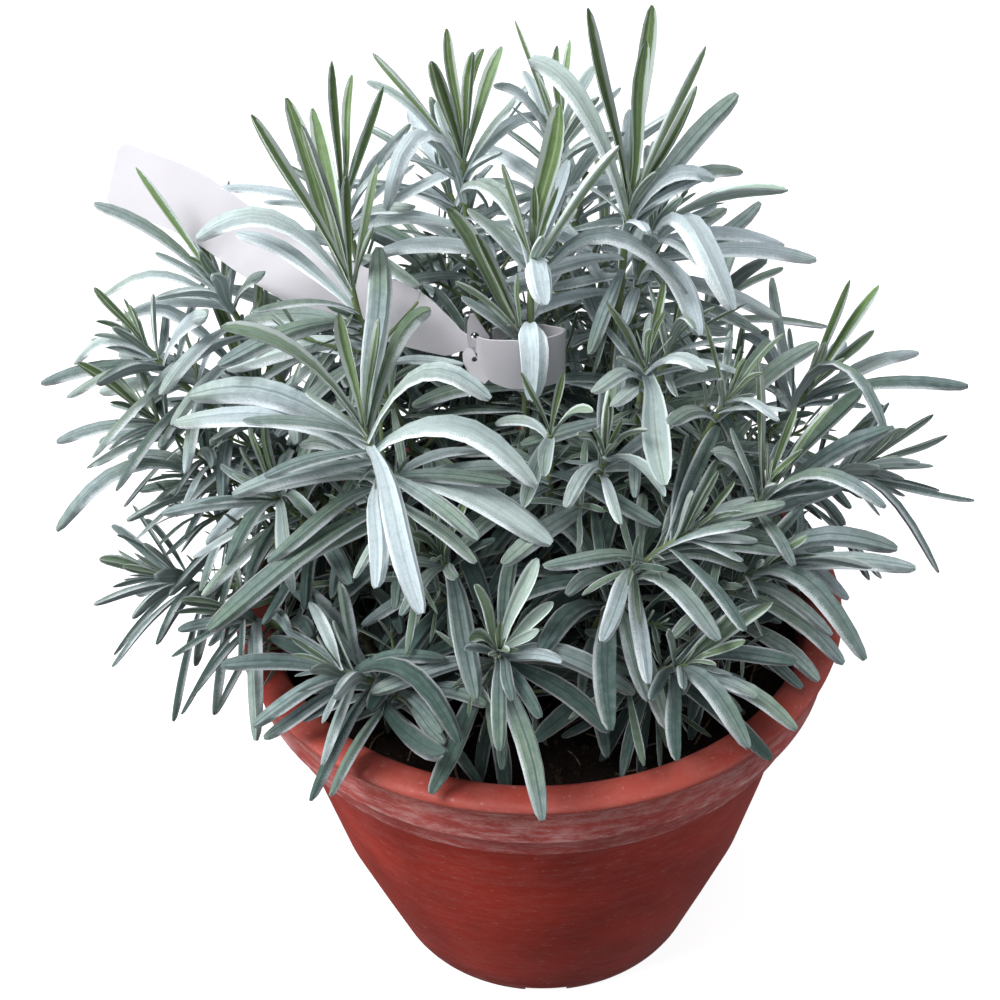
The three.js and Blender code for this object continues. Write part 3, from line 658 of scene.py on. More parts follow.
def labelMaterial():
    material, tree, shader = startMaterial(
        "matt polypropylene film", Roughness=0.5, IOR=1.49, Subsurface_Weight=0.12,
        Subsurface_Radius=(0.002, 0.002, 0.002))
    place = objectPlace(tree)
    cloud = noise(tree, place, 45, 3)
    setColour(tree, shader, mixed(tree, cloud, label["filmColour"], label["warmColour"]))
    relief = worked(tree, "MULTIPLY_ADD", cloud, 6, noise(tree, place, 900, 2))
    addRelief(tree, shader, relief, 0.3, 0.1)
    return material


def makeStrip():
    stations = labelStations()
    centres = np.array([station[0] for station in stations])
    acrosses = np.array([station[1] for station in stations])
    highs = np.array([station[3] for station in stations], float)
    lows = np.array([station[4] for station in stations], float)
    strip = addPiece(
        bpy.ops.mesh.primitive_grid_add, x_subdivisions=label["lengthSteps"],
        y_subdivisions=label["widthSteps"], size=1)
    rest = readPoints(strip.data)
    place = (rest[:, 0] + 0.5) * (len(stations) - 1)
    centre = smoothThrough(centres, place)
    across = smoothThrough(acrosses, place)
    across /= np.linalg.norm(across, axis=1)[:, None]
    fromEnd = np.linalg.norm(centre - centres[0], axis=1)
    radius = label["cornerRadius"]
    rounded = radius - np.sqrt(np.maximum(0, radius ** 2 - (radius - fromEnd) ** 2))
    trim = np.where(fromEnd < radius, rounded, 0)
    high = np.interp(place, np.arange(len(highs)), highs) - trim
    low = np.interp(place, np.arange(len(lows)), lows) - trim
    part = rest[:, 1] * 2
    writePoints(strip.data, (centre + across * (part * np.where(part > 0, high, low))[:, None]) * mm)
    applyModifier(strip, "SOLIDIFY", thickness=label["thickness"] * mm, offset=0)
    return strip


def makeBarb(barb):
    outline = barb["outline"]
    plate = addPiece(bpy.ops.mesh.primitive_circle_add, vertices=len(outline), radius=1, fill_type="NGON")
    neck = np.array(label["neckPlace"])
    # A barb springs forward with its distance from the neck
    points = [neck + (x, -barb["forward"] * abs(z) / 15 - 0.4, z) for x, z in outline]
    writePoints(plate.data, np.array(points) * mm)
    applyModifier(plate, "SOLIDIFY", thickness=label["thickness"] * mm, offset=0)
    startEditing(plate)
    finishEditing()
    x, z, radius = barb["hole"]
    hole = addPiece(
        bpy.ops.mesh.primitive_cylinder_add, vertices=20, radius=radius * mm, depth=12 * mm,
        rotation=(math.pi / 2, 0, 0), location=(neck + (x, -barb["forward"] / 2, z)) * mm)
    placeInFrame(hole)
    cutAway(plate, hole)
    return plate


def makeLabel():
    piece = joinPieces([makeStrip()] + [makeBarb(barb) for barb in labelBarbs], "loop_label")
    smoothShade(piece, 35)
    setMaterials(piece, labelMaterial())
    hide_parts("plant_label")
    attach(piece, "root")


makeLabel()
print("label is made")

# Plant: where the stems stand, as [foot x, y], [crown x, y, z], [heading at the crown], and their large
# leaves as [distance below the crown, tip x, y, z, arch, breadth]

frontShoots = [
  [[-45, -75], [-75, -85, 205], [-0.7, -0.2, 0.6], [
    [6, -120, -80, 205, 6, 1], [12, -110, -90, 190, 15, 1], [8, -80, -125, 195, 6, 1],
    [6, -30, -120, 200, 33, 0.9], [4, -35, -90, 215, 9, 1], [30, -20, -105, 205, 9, 1],
    [25, -90, -90, 185, 4, 0.9], [14, -35, -130, 205, -24, 1], [32, -35, -100, 190, 4, 1],
    [0, -85, -75, 230, 0, 1.6],
  ]],
  [[-20, -60], [-15, -100, 225], [0, -0.6, 0.8], [
    [2, -25, -110, 240, 9, 1.2], [4, -15, -135, 210, 9, 1], [10, 0, -150, 190, 12, 1],
    [4, 35, -95, 200, 15, 1], [12, 25, -110, 195, 8, 1.1], [2, 0, -95, 265, 4, 1.1],
    [1, 5, -95, 245, 0, 1], [0, -5, -100, 240, 0, 1], [8, -30, -55, 245, 6, 1.1],
    [6, -10, -125, 225, 8, 1],
  ]],
  [[15, -55], [55, -75, 260], [0.8, -0.1, 0.6], [
    [42, 10, -85, 240, 15, 1.1], [32, 20, -45, 225, 12, 1], [56, 0, -100, 225, 18, 1.1],
    [30, 90, -65, 230, 9, 1], [38, 65, -100, 230, 24, 1], [48, 60, -95, 190, 15, 1.2],
    [56, 25, -125, 210, 15, 1.1], [20, 75, -90, 275, 6, 1], [8, 90, -65, 265, 6, 1],
    [4, 80, -55, 260, 3, 0.9], [8, 60, -35, 275, 0, 1], [3, 65, -65, 280, 0, 0.9],
    [16, 55, -45, 255, 3, 1], [26, 40, -45, 255, 12, 1], [36, 40, -40, 250, 9, 1.3],
    [16, 90, -75, 250, 6, 0.9], [24, 80, -75, 245, 12, 1], [50, 15, -35, 255, 21, 1.1],
  ]],
  [[40, -60], [55, -90, 210], [0.6, -0.3, 0.6], [
    [6, 95, -90, 210, 9, 1], [12, 75, -125, 200, 21, 1], [10, 95, -105, 190, 12, 1],
    [26, 85, -100, 170, 6, 0.9], [8, 40, -110, 210, 4, 1], [30, 50, -105, 195, 9, 1.1],
    [0, 75, -95, 225, 0, 1], [2, 85, -85, 235, 0, 1.1], [34, 35, -105, 150, -6, 0.6],
    [4, 95, -80, 215, 6, 1],
  ]],
  [[60, -15], [85, -50, 260], [0.3, 0, 0.9], [
    [6, 70, -10, 270, 6, 1], [3, 80, -40, 310, 0, 1], [0, 95, -40, 290, 0, 1],
    [2, 105, -45, 295, 3, 0.9], [4, 120, -30, 290, 6, 1], [8, 130, -40, 280, 6, 1],
    [8, 125, -75, 270, 27, 1], [12, 65, -65, 285, 15, 1],
  ]],
  [[70, -40], [85, -65, 235], [0.8, -0.1, 0.5], [
    [4, 135, -55, 235, 21, 1], [8, 130, -65, 240, 12, 1], [3, 120, -85, 250, 6, 1],
    [12, 125, -95, 230, 36, 1], [2, 90, -70, 260, 3, 0.9], [16, 110, -75, 210, 12, 0.9],
  ]],
  [[70, 0], [130, 10, 225], [1, 0.1, 0.2], [
    [0, 160, 25, 240, 0, 1.1], [1, 165, 20, 235, 0, 0.9], [3, 165, 10, 230, 0, 0.9],
    [4, 145, -5, 230, 3, 0.8], [6, 170, 0, 225, 6, 0.7], [14, 160, -20, 195, 30, 1],
    [12, 135, -15, 220, 6, 0.7],
  ]],
  [[65, 15], [105, 5, 265], [0.6, 0.1, 0.7], [
    [0, 130, 10, 310, 0, 1.2], [1, 125, 10, 310, 0, 1], [2, 130, 10, 290, 0, 1],
    [4, 95, 50, 290, -15, 0.8], [5, 140, 10, 280, 18, 0.9], [7, 160, 5, 275, 18, 0.9],
    [10, 130, -35, 275, 45, 0.9], [8, 85, 45, 270, 18, 1],
  ]],
  [[-30, -35], [-60, -70, 305], [-0.1, -0.1, 0.9], [
    [0, -65, -75, 355, 0, 1.2], [0, -55, -70, 350, 0, 1], [4, -35, -65, 350, 24, 1],
    [8, -55, -15, 345, 0, 1.1], [6, -15, -90, 330, 36, 1], [12, 0, -85, 290, 33, 1.4],
    [30, 5, -80, 260, 18, 1.4], [3, -105, -75, 350, 21, 1.1], [8, -125, -40, 300, 18, 1.3],
    [16, -130, -50, 295, 18, 1.2], [8, -40, -130, 270, 9, 1.1], [42, -120, -95, 235, 9, 1.1],
    [50, -115, -85, 235, 9, 1], [22, -80, -70, 285, 4, 0.7], [26, -50, -80, 275, 4, 0.8],
  ]],
  [[-55, -25], [-110, 20, 260], [-0.2, 0, 0.9], [
    [0, -120, 25, 310, 0, 1.2], [1, -115, 40, 295, 0, 1], [6, -155, 35, 290, 27, 1],
    [14, -165, 35, 270, 12, 1.3], [10, -160, 20, 265, 15, 1.2], [3, -110, 40, 300, 0, 0.9],
    [32, -140, -5, 220, 21, 1.2],
  ]],
  [[-50, 5], [-120, 25, 305], [-0.3, 0.1, 0.9], [
    [0, -135, 35, 350, 0, 1], [0, -130, 25, 345, 0, 1.1], [2, -125, 50, 345, 0, 0.9],
    [8, -155, 40, 335, 15, 0.8], [12, -165, 20, 305, 24, 0.9], [5, -145, 35, 315, 3, 0.8],
  ]],
  [[-70, 10], [-150, 15, 285], [-0.5, 0, 0.8], [
    [0, -165, 10, 315, 0, 1], [0, -155, 15, 310, 0, 1], [2, -145, 35, 310, 0, 0.9],
    [6, -180, 20, 275, 18, 0.9], [6, -130, 35, 295, 6, 1.1],
  ]],
  [[-70, -15], [-150, 10, 255], [-0.6, 0, 0.7], [
    [0, -175, 5, 285, 0, 1.2], [1, -170, 25, 270, 0, 1], [12, -190, 10, 245, 12, 0.9],
    [6, -165, -10, 255, 6, 1], [3, -160, 40, 280, 3, 0.9],
  ]],
  [[-62, -45], [-135, 5, 230], [-0.6, -0.2, 0.6], [
    [4, -190, -15, 220, 33, 1], [4, -165, 20, 230, 9, 1.4], [28, -125, -40, 200, 12, 1.3],
    [8, -150, -10, 230, 9, 0.9],
  ]],
  [[-85, 0], [-150, -10, 190], [-0.8, 0, 0.4], [
    [0, -175, -15, 205, 0, 1.2], [1, -165, -20, 205, 0, 1], [8, -160, -40, 195, 6, 0.9],
    [6, -170, 0, 205, 6, 0.7], [18, -150, -50, 190, 15, 1], [10, -160, 10, 205, 6, 0.9],
  ]],
  [[-80, -40], [-120, -40, 195], [-0.6, -0.3, 0.5], [
    [10, -110, -85, 170, 27, 0.9], [5, -115, -70, 195, 9, 1], [2, -135, -60, 220, 3, 1],
    [12, -95, -65, 205, 12, 1],
  ]],
  [[-30, 0], [-65, -25, 335], [-0.1, 0, 1], [
    [1, -95, -20, 400, 0, 1.1], [0, -85, 0, 400, 0, 1], [1, -80, -15, 405, 0, 0.9],
    [0, -75, 5, 395, 0, 1.1], [4, -120, -15, 350, 36, 1.1], [10, -100, 0, 355, 21, 1],
    [0, -70, -25, 375, 0, 1.1], [1, -60, -25, 365, 3, 0.9], [3, -55, -15, 380, 3, 0.9],
  ]],
  [[-35, 30], [-70, 20, 345], [-0.1, 0.1, 1], [
    [0, -70, 20, 400, 0, 0.9], [1, -65, 40, 385, 0, 0.9], [1, -60, 20, 395, 0, 1],
    [8, -50, 50, 350, 12, 1], [3, -80, 35, 370, 0, 0.9],
  ]],
  [[-12, 16], [-25, 20, 360], [0, 0.1, 1], [
    [1, -55, 15, 405, 0, 1], [0, -40, 5, 405, 0, 1.1], [0, -30, 45, 400, 0, 0.9],
    [0, -20, 15, 405, 0, 1], [1, -10, 40, 395, 0, 1.2], [0, -25, 15, 395, 0, 0.9],
    [8, -60, 45, 380, 15, 0.6], [16, -60, -15, 365, 54, 1], [8, 5, 45, 365, 15, 1],
  ]],
  [[8, 20], [10, 35, 360], [0, 0.1, 1], [
    [1, -5, 40, 405, 0, 0.7], [0, 10, 40, 395, 0, 0.9], [0, 15, 55, 390, 0, 0.9],
    [6, -5, 45, 370, 12, 1], [3, 25, 75, 370, 3, 0.9],
  ]],
  [[28, 15], [35, -5, 355], [0.1, 0, 1], [
    [3, 20, 5, 425, -3, 1], [1, 35, 10, 415, 0, 1], [0, 40, 0, 415, 0, 0.9],
    [1, 50, 0, 410, 0, 1], [3, 60, -5, 415, 0, 1], [4, 75, 30, 380, 0, 1],
    [0, 55, -10, 400, 0, 1.1], [2, 35, -5, 410, 0, 1.5], [6, 0, 30, 395, 30, 1],
    [5, 5, 20, 395, 24, 1], [8, 10, -5, 395, 24, 1], [10, 60, 5, 365, 21, 1],
    [14, 75, 10, 360, 21, 1],
  ]],
  [[45, 35], [45, 5, 340], [0.3, 0.1, 0.9], [
    [2, 90, -15, 365, 9, 1.3], [6, 95, 25, 320, 6, 1.1], [12, 90, 30, 335, -21, 0.8],
    [14, 105, 5, 325, 6, 1], [10, 70, -45, 335, 42, 1.4], [24, 60, -30, 315, 30, 1.1],
    [30, 85, -5, 300, 6, 0.8], [8, 60, -25, 345, 12, 1],
  ]],
  [[8, -2], [0, -25, 345], [0.1, -0.1, 1], [
    [2, 10, -15, 400, 0, 1.4], [0, 5, -25, 385, 0, 0.9], [3, 20, -30, 385, 3, 1],
    [1, 15, -25, 370, 6, 1.1], [5, 45, -40, 365, 36, 1], [14, 55, -25, 330, 42, 1],
    [4, -35, 20, 355, 30, 1], [2, 5, -45, 340, 12, 1.4], [30, -5, -45, 300, 9, 1.5],
    [2, -10, -30, 385, 0, 1.1],
  ]],
  [[-10, -10], [-5, -25, 315], [-0.1, -0.1, 1], [
    [1, -20, -25, 355, 0, 1.3], [3, -30, -15, 360, 0, 1.2], [5, -45, -20, 345, 24, 1.1],
    [2, -20, -30, 350, 6, 1],
  ]],
  [[30, -12], [40, -35, 305], [0.1, -0.1, 1], [
    [2, 45, -80, 285, 6, 1.5], [4, 60, -60, 320, 12, 1], [1, 25, -55, 345, 0, 1.1],
    [1, 50, -25, 340, 0, 1], [6, 20, -65, 315, 9, 1],
  ]],
  [[2, -32], [5, -55, 290], [0, -0.3, 0.9], [
    [3, -5, -85, 280, 6, 1.3], [2, 5, -80, 285, 6, 1.2], [3, 20, -70, 310, 9, 1],
    [4, -15, -25, 275, 9, 1], [1, 10, -60, 320, 0, 1], [0, -5, -60, 320, 0, 1],
  ]],
  [[-45, -45], [-100, -35, 250], [-0.4, -0.4, 0.8], [
    [3, -90, -75, 235, 12, 1.1], [6, -115, -70, 245, 15, 1], [2, -80, -60, 255, 9, 1],
    [1, -105, -40, 285, 0, 1], [8, -130, -25, 220, 15, 1],
  ]],
  [[50, 12], [70, -40, 295], [0.4, 0.1, 0.8], [
    [1, 90, -30, 315, 0, 0.7], [4, 85, -70, 305, 9, 0.7], [2, 60, -45, 330, 0, 0.8],
    [1, 80, -55, 315, 0, 0.7], [0, 75, -30, 310, 0, 0.7],
  ]],
  [[38, 20], [50, -20, 305], [0.3, 0.2, 0.9], [
    [1, 70, -30, 330, 0, 0.7], [4, 65, -40, 320, 9, 0.7], [2, 45, 15, 310, 0, 0.8],
    [8, 70, -45, 310, 9, 0.8],
  ]],
  [[22, -35], [25, -55, 280], [0.2, -0.3, 0.9], [
    [3, 45, -80, 280, 12, 1.1], [1, 25, -65, 310, 0, 1], [4, 15, -70, 300, 9, 1],
    [2, 40, -70, 300, 3, 1], [8, 10, -85, 280, 12, 1],
  ]],
  [[-25, -45], [-35, -70, 245], [-0.1, -0.4, 0.8], [
    [4, -15, -105, 220, 15, 1.1], [6, -50, -95, 240, 9, 1], [2, -25, -70, 275, 3, 1],
    [3, -45, -80, 265, 6, 1],
  ]],
]

# Rows of shoots round the far side: crown height, distance out, number, first and last bearing
backRows = [
    [212, 118, 6, 12, 168],
    [275, 92, 4, 35, 155],
    [328, 55, 2, 70, 125],
]

stemForm = {
    "rise": 0.35,
    "leastRise": 34,
    "arrival": 0.3,
    "rootDepth": 26,
    "footRadius": 2.1,
    "tipRadius": 1.25,
    "sideRadius": 0.8,
    "sideTaper": 0.7,
    "footHandle": 5,
    "toneAndPaintedLight": 0.5,
    "rowCentre": 6,
    "footSpread": 0.52,
    "footSetBack": 8,
    "leanOut": 0.7,
    "leanUp": 0.75,
    "chainSteps": 200,
    "stemBall": 2.1,
}

leafForm = {
    "length": 56,
    "longSlenderness": 0.068,
    "shortSlenderness": 0.09,
    "rankSlenderness": 0.075,
    "shortLeaf": 30,
    "widestHalf": 4.2,
    "thickness": 1.4,
    "bendAt": 0.45,
    "tries": 14,
    # How far each leaf strays from the rule
    "wander": 0.25,
    "lengths": (0.88, 1.1),
    "leans": (-8, 8),
    "droops": (0.5, 1.3),
    "curls": (-0.25, 0.25),
    "breadths": (0.9, 1.12),
    "outward": 0.3,
    "ballSpacing": 2.4,
    "ballsAcross": 0.8,
    "ballArch": 0.2,
    "socketPart": 0.6,
    "spare": 0.15,
    "crotch": 14,
    "socket": 4,
}

# Leaf pairs from the crown down: distance below it, size, angle off the stem and droop
ranks = [
    [0.5, 0.3, 8, 0],
    [2, 0.5, 14, 0],
    [4.5, 0.74, 22, 0.05],
    [8, 0.92, 34, 0.15],
    [13, 1, 47, 0.35],
    [19, 1, 60, 0.55],
    [27, 0.95, 72, 0.65],
]
frontRanks = [0, 6]
backRanks = [0, 2, 3, 4, 5, 6]

# Half breadth of a blade along its length, as parts of its widest place
bladeOutline = [(0, 0.32), (0.15, 0.38), (0.35, 0.68), (0.6, 1), (0.8, 0.93), (0.93, 0.62), (1, 0.15)]

up = np.array([0.0, 0.0, 1.0])
crossReference = np.array([0.3, 1, 0.2])


def makeRandom(seed):
    state = (seed * 2654435761) % 4294967296

    def draw(low=0.0, high=1.0):
        nonlocal state
        state = (state * 1664525 + 1013904223) % 4294967296
        return low + (high - low) * state / 4294967296

    for skipped in range(3):
        draw()
    return draw


def cubicPoints(curve, t):
    t = np.asarray(t, float)[:, None]
    a, b, c, d = curve
    return (1 - t) ** 3 * a + 3 * (1 - t) ** 2 * t * b + 3 * (1 - t) * t ** 2 * c + t ** 3 * d


def cubicHeading(curve, t):
    a, b, c, d = curve
    return unit((1 - t) ** 2 * (b - a) + 2 * (1 - t) * t * (c - b) + t ** 2 * (d - c))


def makeStem(foot, crown, heading):
    start = np.array([*foot, compost["level"] + 2], float)
    end = np.array(crown, float)
    span = np.linalg.norm(end - start)
    rising = start + up * max(stemForm["rise"] * span, stemForm["leastRise"])
    arriving = end - unit(np.array(heading, float)) * stemForm["arrival"] * span
    return measured(np.array([start, rising, arriving, end]))


def measured(curve):
    points = cubicPoints(curve, np.linspace(0, 1, stemForm["chainSteps"] + 1))
    steps = np.linalg.norm(np.diff(points, axis=0), axis=1)
    fromCrown = np.append(np.cumsum(steps[::-1])[::-1], 0)
    return {"curve": curve, "fromCrown": fromCrown, "length": fromCrown[0]}


def placeBack(stem, distance):
    chain = stem["fromCrown"]
    steps = stemForm["chainSteps"]
    beyond = np.nonzero(chain[:steps] >= distance)[0]
    index = beyond[-1] if len(beyond) else 0
    part = min(1, max(0, (chain[index] - distance) / (chain[index] - chain[index + 1])))
    t = (index + part) / steps
    return cubicPoints(stem["curve"], [t])[0], cubicHeading(stem["curve"], t)


def backRowShoots():
    shoots = []
    for row, (height, out, count, first, last) in enumerate(backRows):
        for index in range(count):
            draw = makeRandom(seeds["backRows"] + row * 20 + index)
            radius = out * draw(0.92, 1.08)
            z = height + draw(-10, 10)
            bearing = math.radians(first + (last - first) * index / (count - 1)) + draw(-0.08, 0.08)
            x = radius * math.cos(bearing)
            y = stemForm["rowCentre"] + radius * math.sin(bearing)
            heading = [stemForm["leanOut"] * math.cos(bearing), stemForm["leanOut"] * math.sin(bearing),
                       stemForm["leanUp"]]
            foot = [stemForm["footSpread"] * x, stemForm["footSpread"] * y + stemForm["footSetBack"]]
            shoots.append([foot, [x, y, z], heading, []])
    return shoots


# Each leaf is a middle line of three points, its crosswise direction at the root and its half breadth


def asLeaf(line, outward, along, half, length, below):
    side = unit(np.cross(outward, along))
    return {"line": line, "side": side, "half": half, "length": length, "below": below}


def aroundStem(along, bearing):
    across = unit(np.cross(along, crossReference))
    return across * math.cos(bearing) + np.cross(along, across) * math.sin(bearing)


def largeLeaf(stem, entry, attempt, draw):
    distance, x, y, z, arch, breadth = entry
    root, along = placeBack(stem, distance)
    tip = np.array([x, y, z], float)
    lift = arch
    if attempt > 0:
        tip = tip + np.array([draw(-1, 1), draw(-1, 1), draw(-1, 1)]) * (2 + 1.2 * attempt)
        lift += 1.5 * attempt * draw(-1, 1)
    middle = root + (tip - root) * leafForm["bendAt"] + up * lift
    outward = tip - root
    outward = unit(outward - along * (outward @ along))
    length = np.linalg.norm(root - middle) + np.linalg.norm(middle - tip)
    longHalf = min(leafForm["longSlenderness"] * length, leafForm["widestHalf"])
    half = breadth * (leafForm["shortSlenderness"] * length if length < leafForm["shortLeaf"] else longHalf)
    return asLeaf((root, middle, tip), outward, along, half, length, distance)


def nodeLeaf(stem, rank, bearing, wander, loose, shrink, draw):
    distance, size, lean, droop = rank
    root, along = placeBack(stem, distance)
    bearing = math.radians(bearing) + draw(-leafForm["wander"], leafForm["wander"]) * wander
    length = leafForm["length"] * size * draw(*leafForm["lengths"]) * shrink
    angle = math.radians(lean + draw(*leafForm["leans"]) * loose)
    outward = aroundStem(along, bearing)
    first = along * math.cos(angle) + outward * math.sin(angle)
    middle = root + first * leafForm["bendAt"] * length
    second = first + outward * leafForm["outward"] - up * droop * draw(*leafForm["droops"])
    second = unit(second + np.cross(outward, along) * draw(*leafForm["curls"]))
    tip = middle + second * (1 - leafForm["bendAt"]) * length
    half = leafForm["rankSlenderness"] * length * draw(*leafForm["breadths"])
    return asLeaf((root, middle, tip), outward, along, half, length, distance)


def rankLeaf(stem, rank, partner, turn, attempt, draw):
    wander = 1 + 0.35 * attempt
    loose = wander if rank > 1 else 0
    bearing = turn + 90 * rank + 180 * partner
    return nodeLeaf(stem, ranks[rank], bearing, wander, loose, 1 - 0.03 * attempt, draw)


def bladeFrames(leaf, s):
    root, middle, tip = leaf["line"]
    s = s[:, None]
    centre = (1 - s) ** 2 * root + 2 * s * (1 - s) * middle + s ** 2 * tip
    along = (1 - s) * (middle - root) + s * (tip - middle)
    along /= np.linalg.norm(along, axis=1)[:, None]
    across = leaf["side"] - along * (along @ leaf["side"])[:, None]
    across /= np.linalg.norm(across, axis=1)[:, None]
    return centre, across, np.cross(across, along)


# Keeping clear: every stem, blade and the label is held as small balls, each batch with its owner

spacing = {
    "mostBatches": 9000,
    "overPot": 2.2,
    "overFloor": 6,
    "insideRim": 18,
    "outsideRim": 2.5,
    "margin": 5,
    "labelRow": 2.5,
    "labelColumn": 0.3,
    "labelBall": 2.4,
    "farReach": 99.0,
    "noOwner": -1,
    "alongStem": 2,
}

balls = {
    "batches": [],
    "low": np.zeros((spacing["mostBatches"], 3)),
    "high": np.zeros((spacing["mostBatches"], 3)),
}


def keep(batch):
    index = len(balls["batches"])
    balls["batches"].append(batch)
    balls["low"][index] = batch["points"].min(axis=0)
    balls["high"][index] = batch["points"].max(axis=0)


def makeBatch(points, radii, reach, owner):
    marks = {"radii": radii, "reach": reach, "owner": owner}
    return {"points": points, **{name: np.full(len(points), value) for name, value in marks.items()}}


outlinePlaces = [place for place, _ in bladeOutline]
outlineHalves = [half for _, half in bladeOutline]


def leafBalls(leaf, owner, columns=(-2, -1, 0, 1, 2)):
    rows = max(4, math.ceil(leaf["length"] / leafForm["ballSpacing"]))
    s = (np.arange(rows) + 0.5) / rows
    centre, across, _ = bladeFrames(leaf, s)
    half = leaf["half"] * np.interp(s, outlinePlaces, outlineHalves)
    columns = np.array(columns) * leafForm["ballsAcross"] / max(columns)
    spread = centre[:, None, :] + across[:, None, :] * (half[:, None] * columns)[:, :, None]
    row = np.sqrt((leafForm["ballArch"] * half) ** 2 + (leafForm["ballSpacing"] / 2) ** 2
                  + (leafForm["thickness"] / 2) ** 2)
    reach = np.repeat(s * leaf["length"], len(columns))
    kept = reach > min(leafForm["socket"], leafForm["socketPart"] * leaf["length"])
    return makeBatch(spread.reshape(-1, 3)[kept], np.repeat(row, len(columns))[kept], reach[kept], owner)


def clearOfPot(points):
    out = np.hypot(points[:, 0], points[:, 1])
    overSoil = points[:, 2] > compost["level"] + spacing["overPot"]
    overRim = points[:, 2] > pot["height"] + spacing["overPot"]
    overFloor = points[:, 2] > spacing["overFloor"]
    inLip = out < pot["rimRadius"] + spacing["outsideRim"]
    return np.where(out < pot["rimRadius"] - spacing["insideRim"], overSoil,
                    np.where(inLip, overRim, overFloor)).all()


def isFree(batch, spare):
    points = batch["points"]
    if not clearOfPot(points):
        return False
    low = points.min(axis=0) - spacing["margin"]
    high = points.max(axis=0) + spacing["margin"]
    count = len(balls["batches"])
    near = np.nonzero(((balls["low"][:count] < high) & (balls["high"][:count] > low)).all(axis=1))[0]
    if not len(near):
        return True
    others = {key: np.concatenate([balls["batches"][index][key] for index in near]) for key in batch}
    inside = ((others["points"] > low) & (others["points"] < high)).all(axis=1)
    if not inside.any():
        return True
    others = {key: value[inside] for key, value in others.items()}
    gaps = np.linalg.norm(points[:, None] - others["points"][None], axis=2)
    close = gaps < batch["radii"][:, None] + others["radii"][None] + spare
    crotch = leafForm["crotch"]
    own = (others["owner"] == batch["owner"][0])[None] & (
        (others["reach"] < crotch)[None] | (batch["reach"] < crotch)[:, None])
    return not (close & ~own).any()


def settle(shoot, make, seed, attempts, spare, columns=(-2, -1, 0, 1, 2), avoid=None, **marks):
    for attempt in range(attempts):
        leaf = make(attempt, makeRandom(seed + attempt))
        batch = leafBalls(leaf, shoot["owner"], columns)
        if isFree(batch, spare) and not (avoid and avoid(batch)):
            keep(batch)
            shoot["leaves"].append({**leaf, **marks})
            return


def labelBalls():
    points = []
    stations = labelStations()
    for first, second in zip(stations, stations[1:]):
        rows = math.ceil(np.linalg.norm(second[0] - first[0]) / spacing["labelRow"])
        for row in range(rows):
            part = (row + 0.5) / rows
            centre, across, half = [first[item] + (second[item] - first[item]) * part for item in range(3)]
            points += [centre + across * half * column * spacing["labelColumn"] for column in range(-3, 4)]
    return makeBatch(np.array(points), spacing["labelBall"], spacing["farReach"], spacing["noOwner"])


def stemBalls(shoot):
    buried = [[*shoot["foot"], compost["level"] - depth]
              for depth in range(stemForm["rootDepth"], 0, -spacing["alongStem"])]
    steps = int(shoot["stem"]["length"] / spacing["alongStem"]) + 1
    points = np.vstack([buried, cubicPoints(shoot["stem"]["curve"], np.linspace(0, 1, steps))])
    return makeBatch(points, stemForm["stemBall"], 0.0, shoot["owner"])


# More foliage than the large leaves: crowded pairs near the crowns, pairs down the stems, small tufts in
# their axils and short side shoots, which fill the inside of the plant

filling = {
    "crownPairs": [[1.5, 0.52, 9, 0], [3, 0.4, 15, 0], [5, 0.64, 25, 0.05], [7.5, 0.58, 35, 0.15],
                   [11, 0.85, 48, 0.3]],
    "lowPairs": [22, 30, 38, 47, 57, 68, 80, 93, 107, 122, 138, 155, 173],
    "lowSize": 0.98,
    "leastSize": 0.58,
    "leastFrom": 130,
    "lowLean": (74, 104),
    "lowDroop": 0.8,
    "outerPairs": 60,
    "bareFoot": 8,
    "tuftFrom": 20,
    "tuftEvery": 15,
    "tuftLeaves": 3,
    "tuftSize": (0.18, 0.38),
    "tuftLean": (28, 84),
    "tuftDroop": (0, 0.3),
    "sideFrom": 30,
    "sideEvery": 28,
    "sideLength": (16, 38),
    "sideLean": 58,
    "sideWander": 14,
    "sideRise": (0.3, 0.9),
    "sideBall": 1.0,
    "sideSizes": [0.16, 0.28, 0.4, 0.5, 0.52, 0.5],
    "sideStart": 0.4,
    "sideGap": 5.5,
    "sideBare": 3,
    "budLeaves": 4,
    "budSize": (0.1, 0.18),
    "budBelow": 0.3,
    "budLean": (4, 22),
    "budTurn": 137.5,
    "attempts": 6,
    "spare": -0.7,
    "insideCentre": (-22, 10),
    "insideReach": (138, 125),
    "insideTop": 320,
    # The left side is bushier: long leaves between the pairs of the shoots whose crowns stand there
    "sprayWest": -55,
    "sprayPairs": [[6, 0.8, 52, 0.3], [10, 0.95, 60, 0.4], [16, 1, 66, 0.5], [24, 0.98, 74, 0.6]],
    "clearLow": (-62, -75, 288),
    "clearHigh": (16, -26, 342),
    "clearTail": 8,
}

# Where the random draws of each kind of leaf start
seeds = {
    "backRows": 900,
    "pairTurn": 3,
    "sideTurn": 5,
    "pairs": 60000,
    "sprays": 90000,
    "tufts": 120000,
    "tuftLeaves": 150000,
    "sides": 300000,
    "buds": 500000,
    "budLeaves": 520000,
    "looks": 700000,
}


def isInside(place):
    # The far shoots and those at the edge stay open
    parts = (place[:2] - filling["insideCentre"]) / filling["insideReach"]
    return math.hypot(*parts) < 1 and place[2] < filling["insideTop"]


def sightLine(points):
    # How far right, up and away the points lie for someone who looks at the plant's front from above
    tilt = math.radians(view["elevation"])
    x, y, z = np.asarray(points, float).T
    return x, y * math.sin(tilt) + z * math.cos(tilt), y * math.cos(tilt) - z * math.sin(tilt)


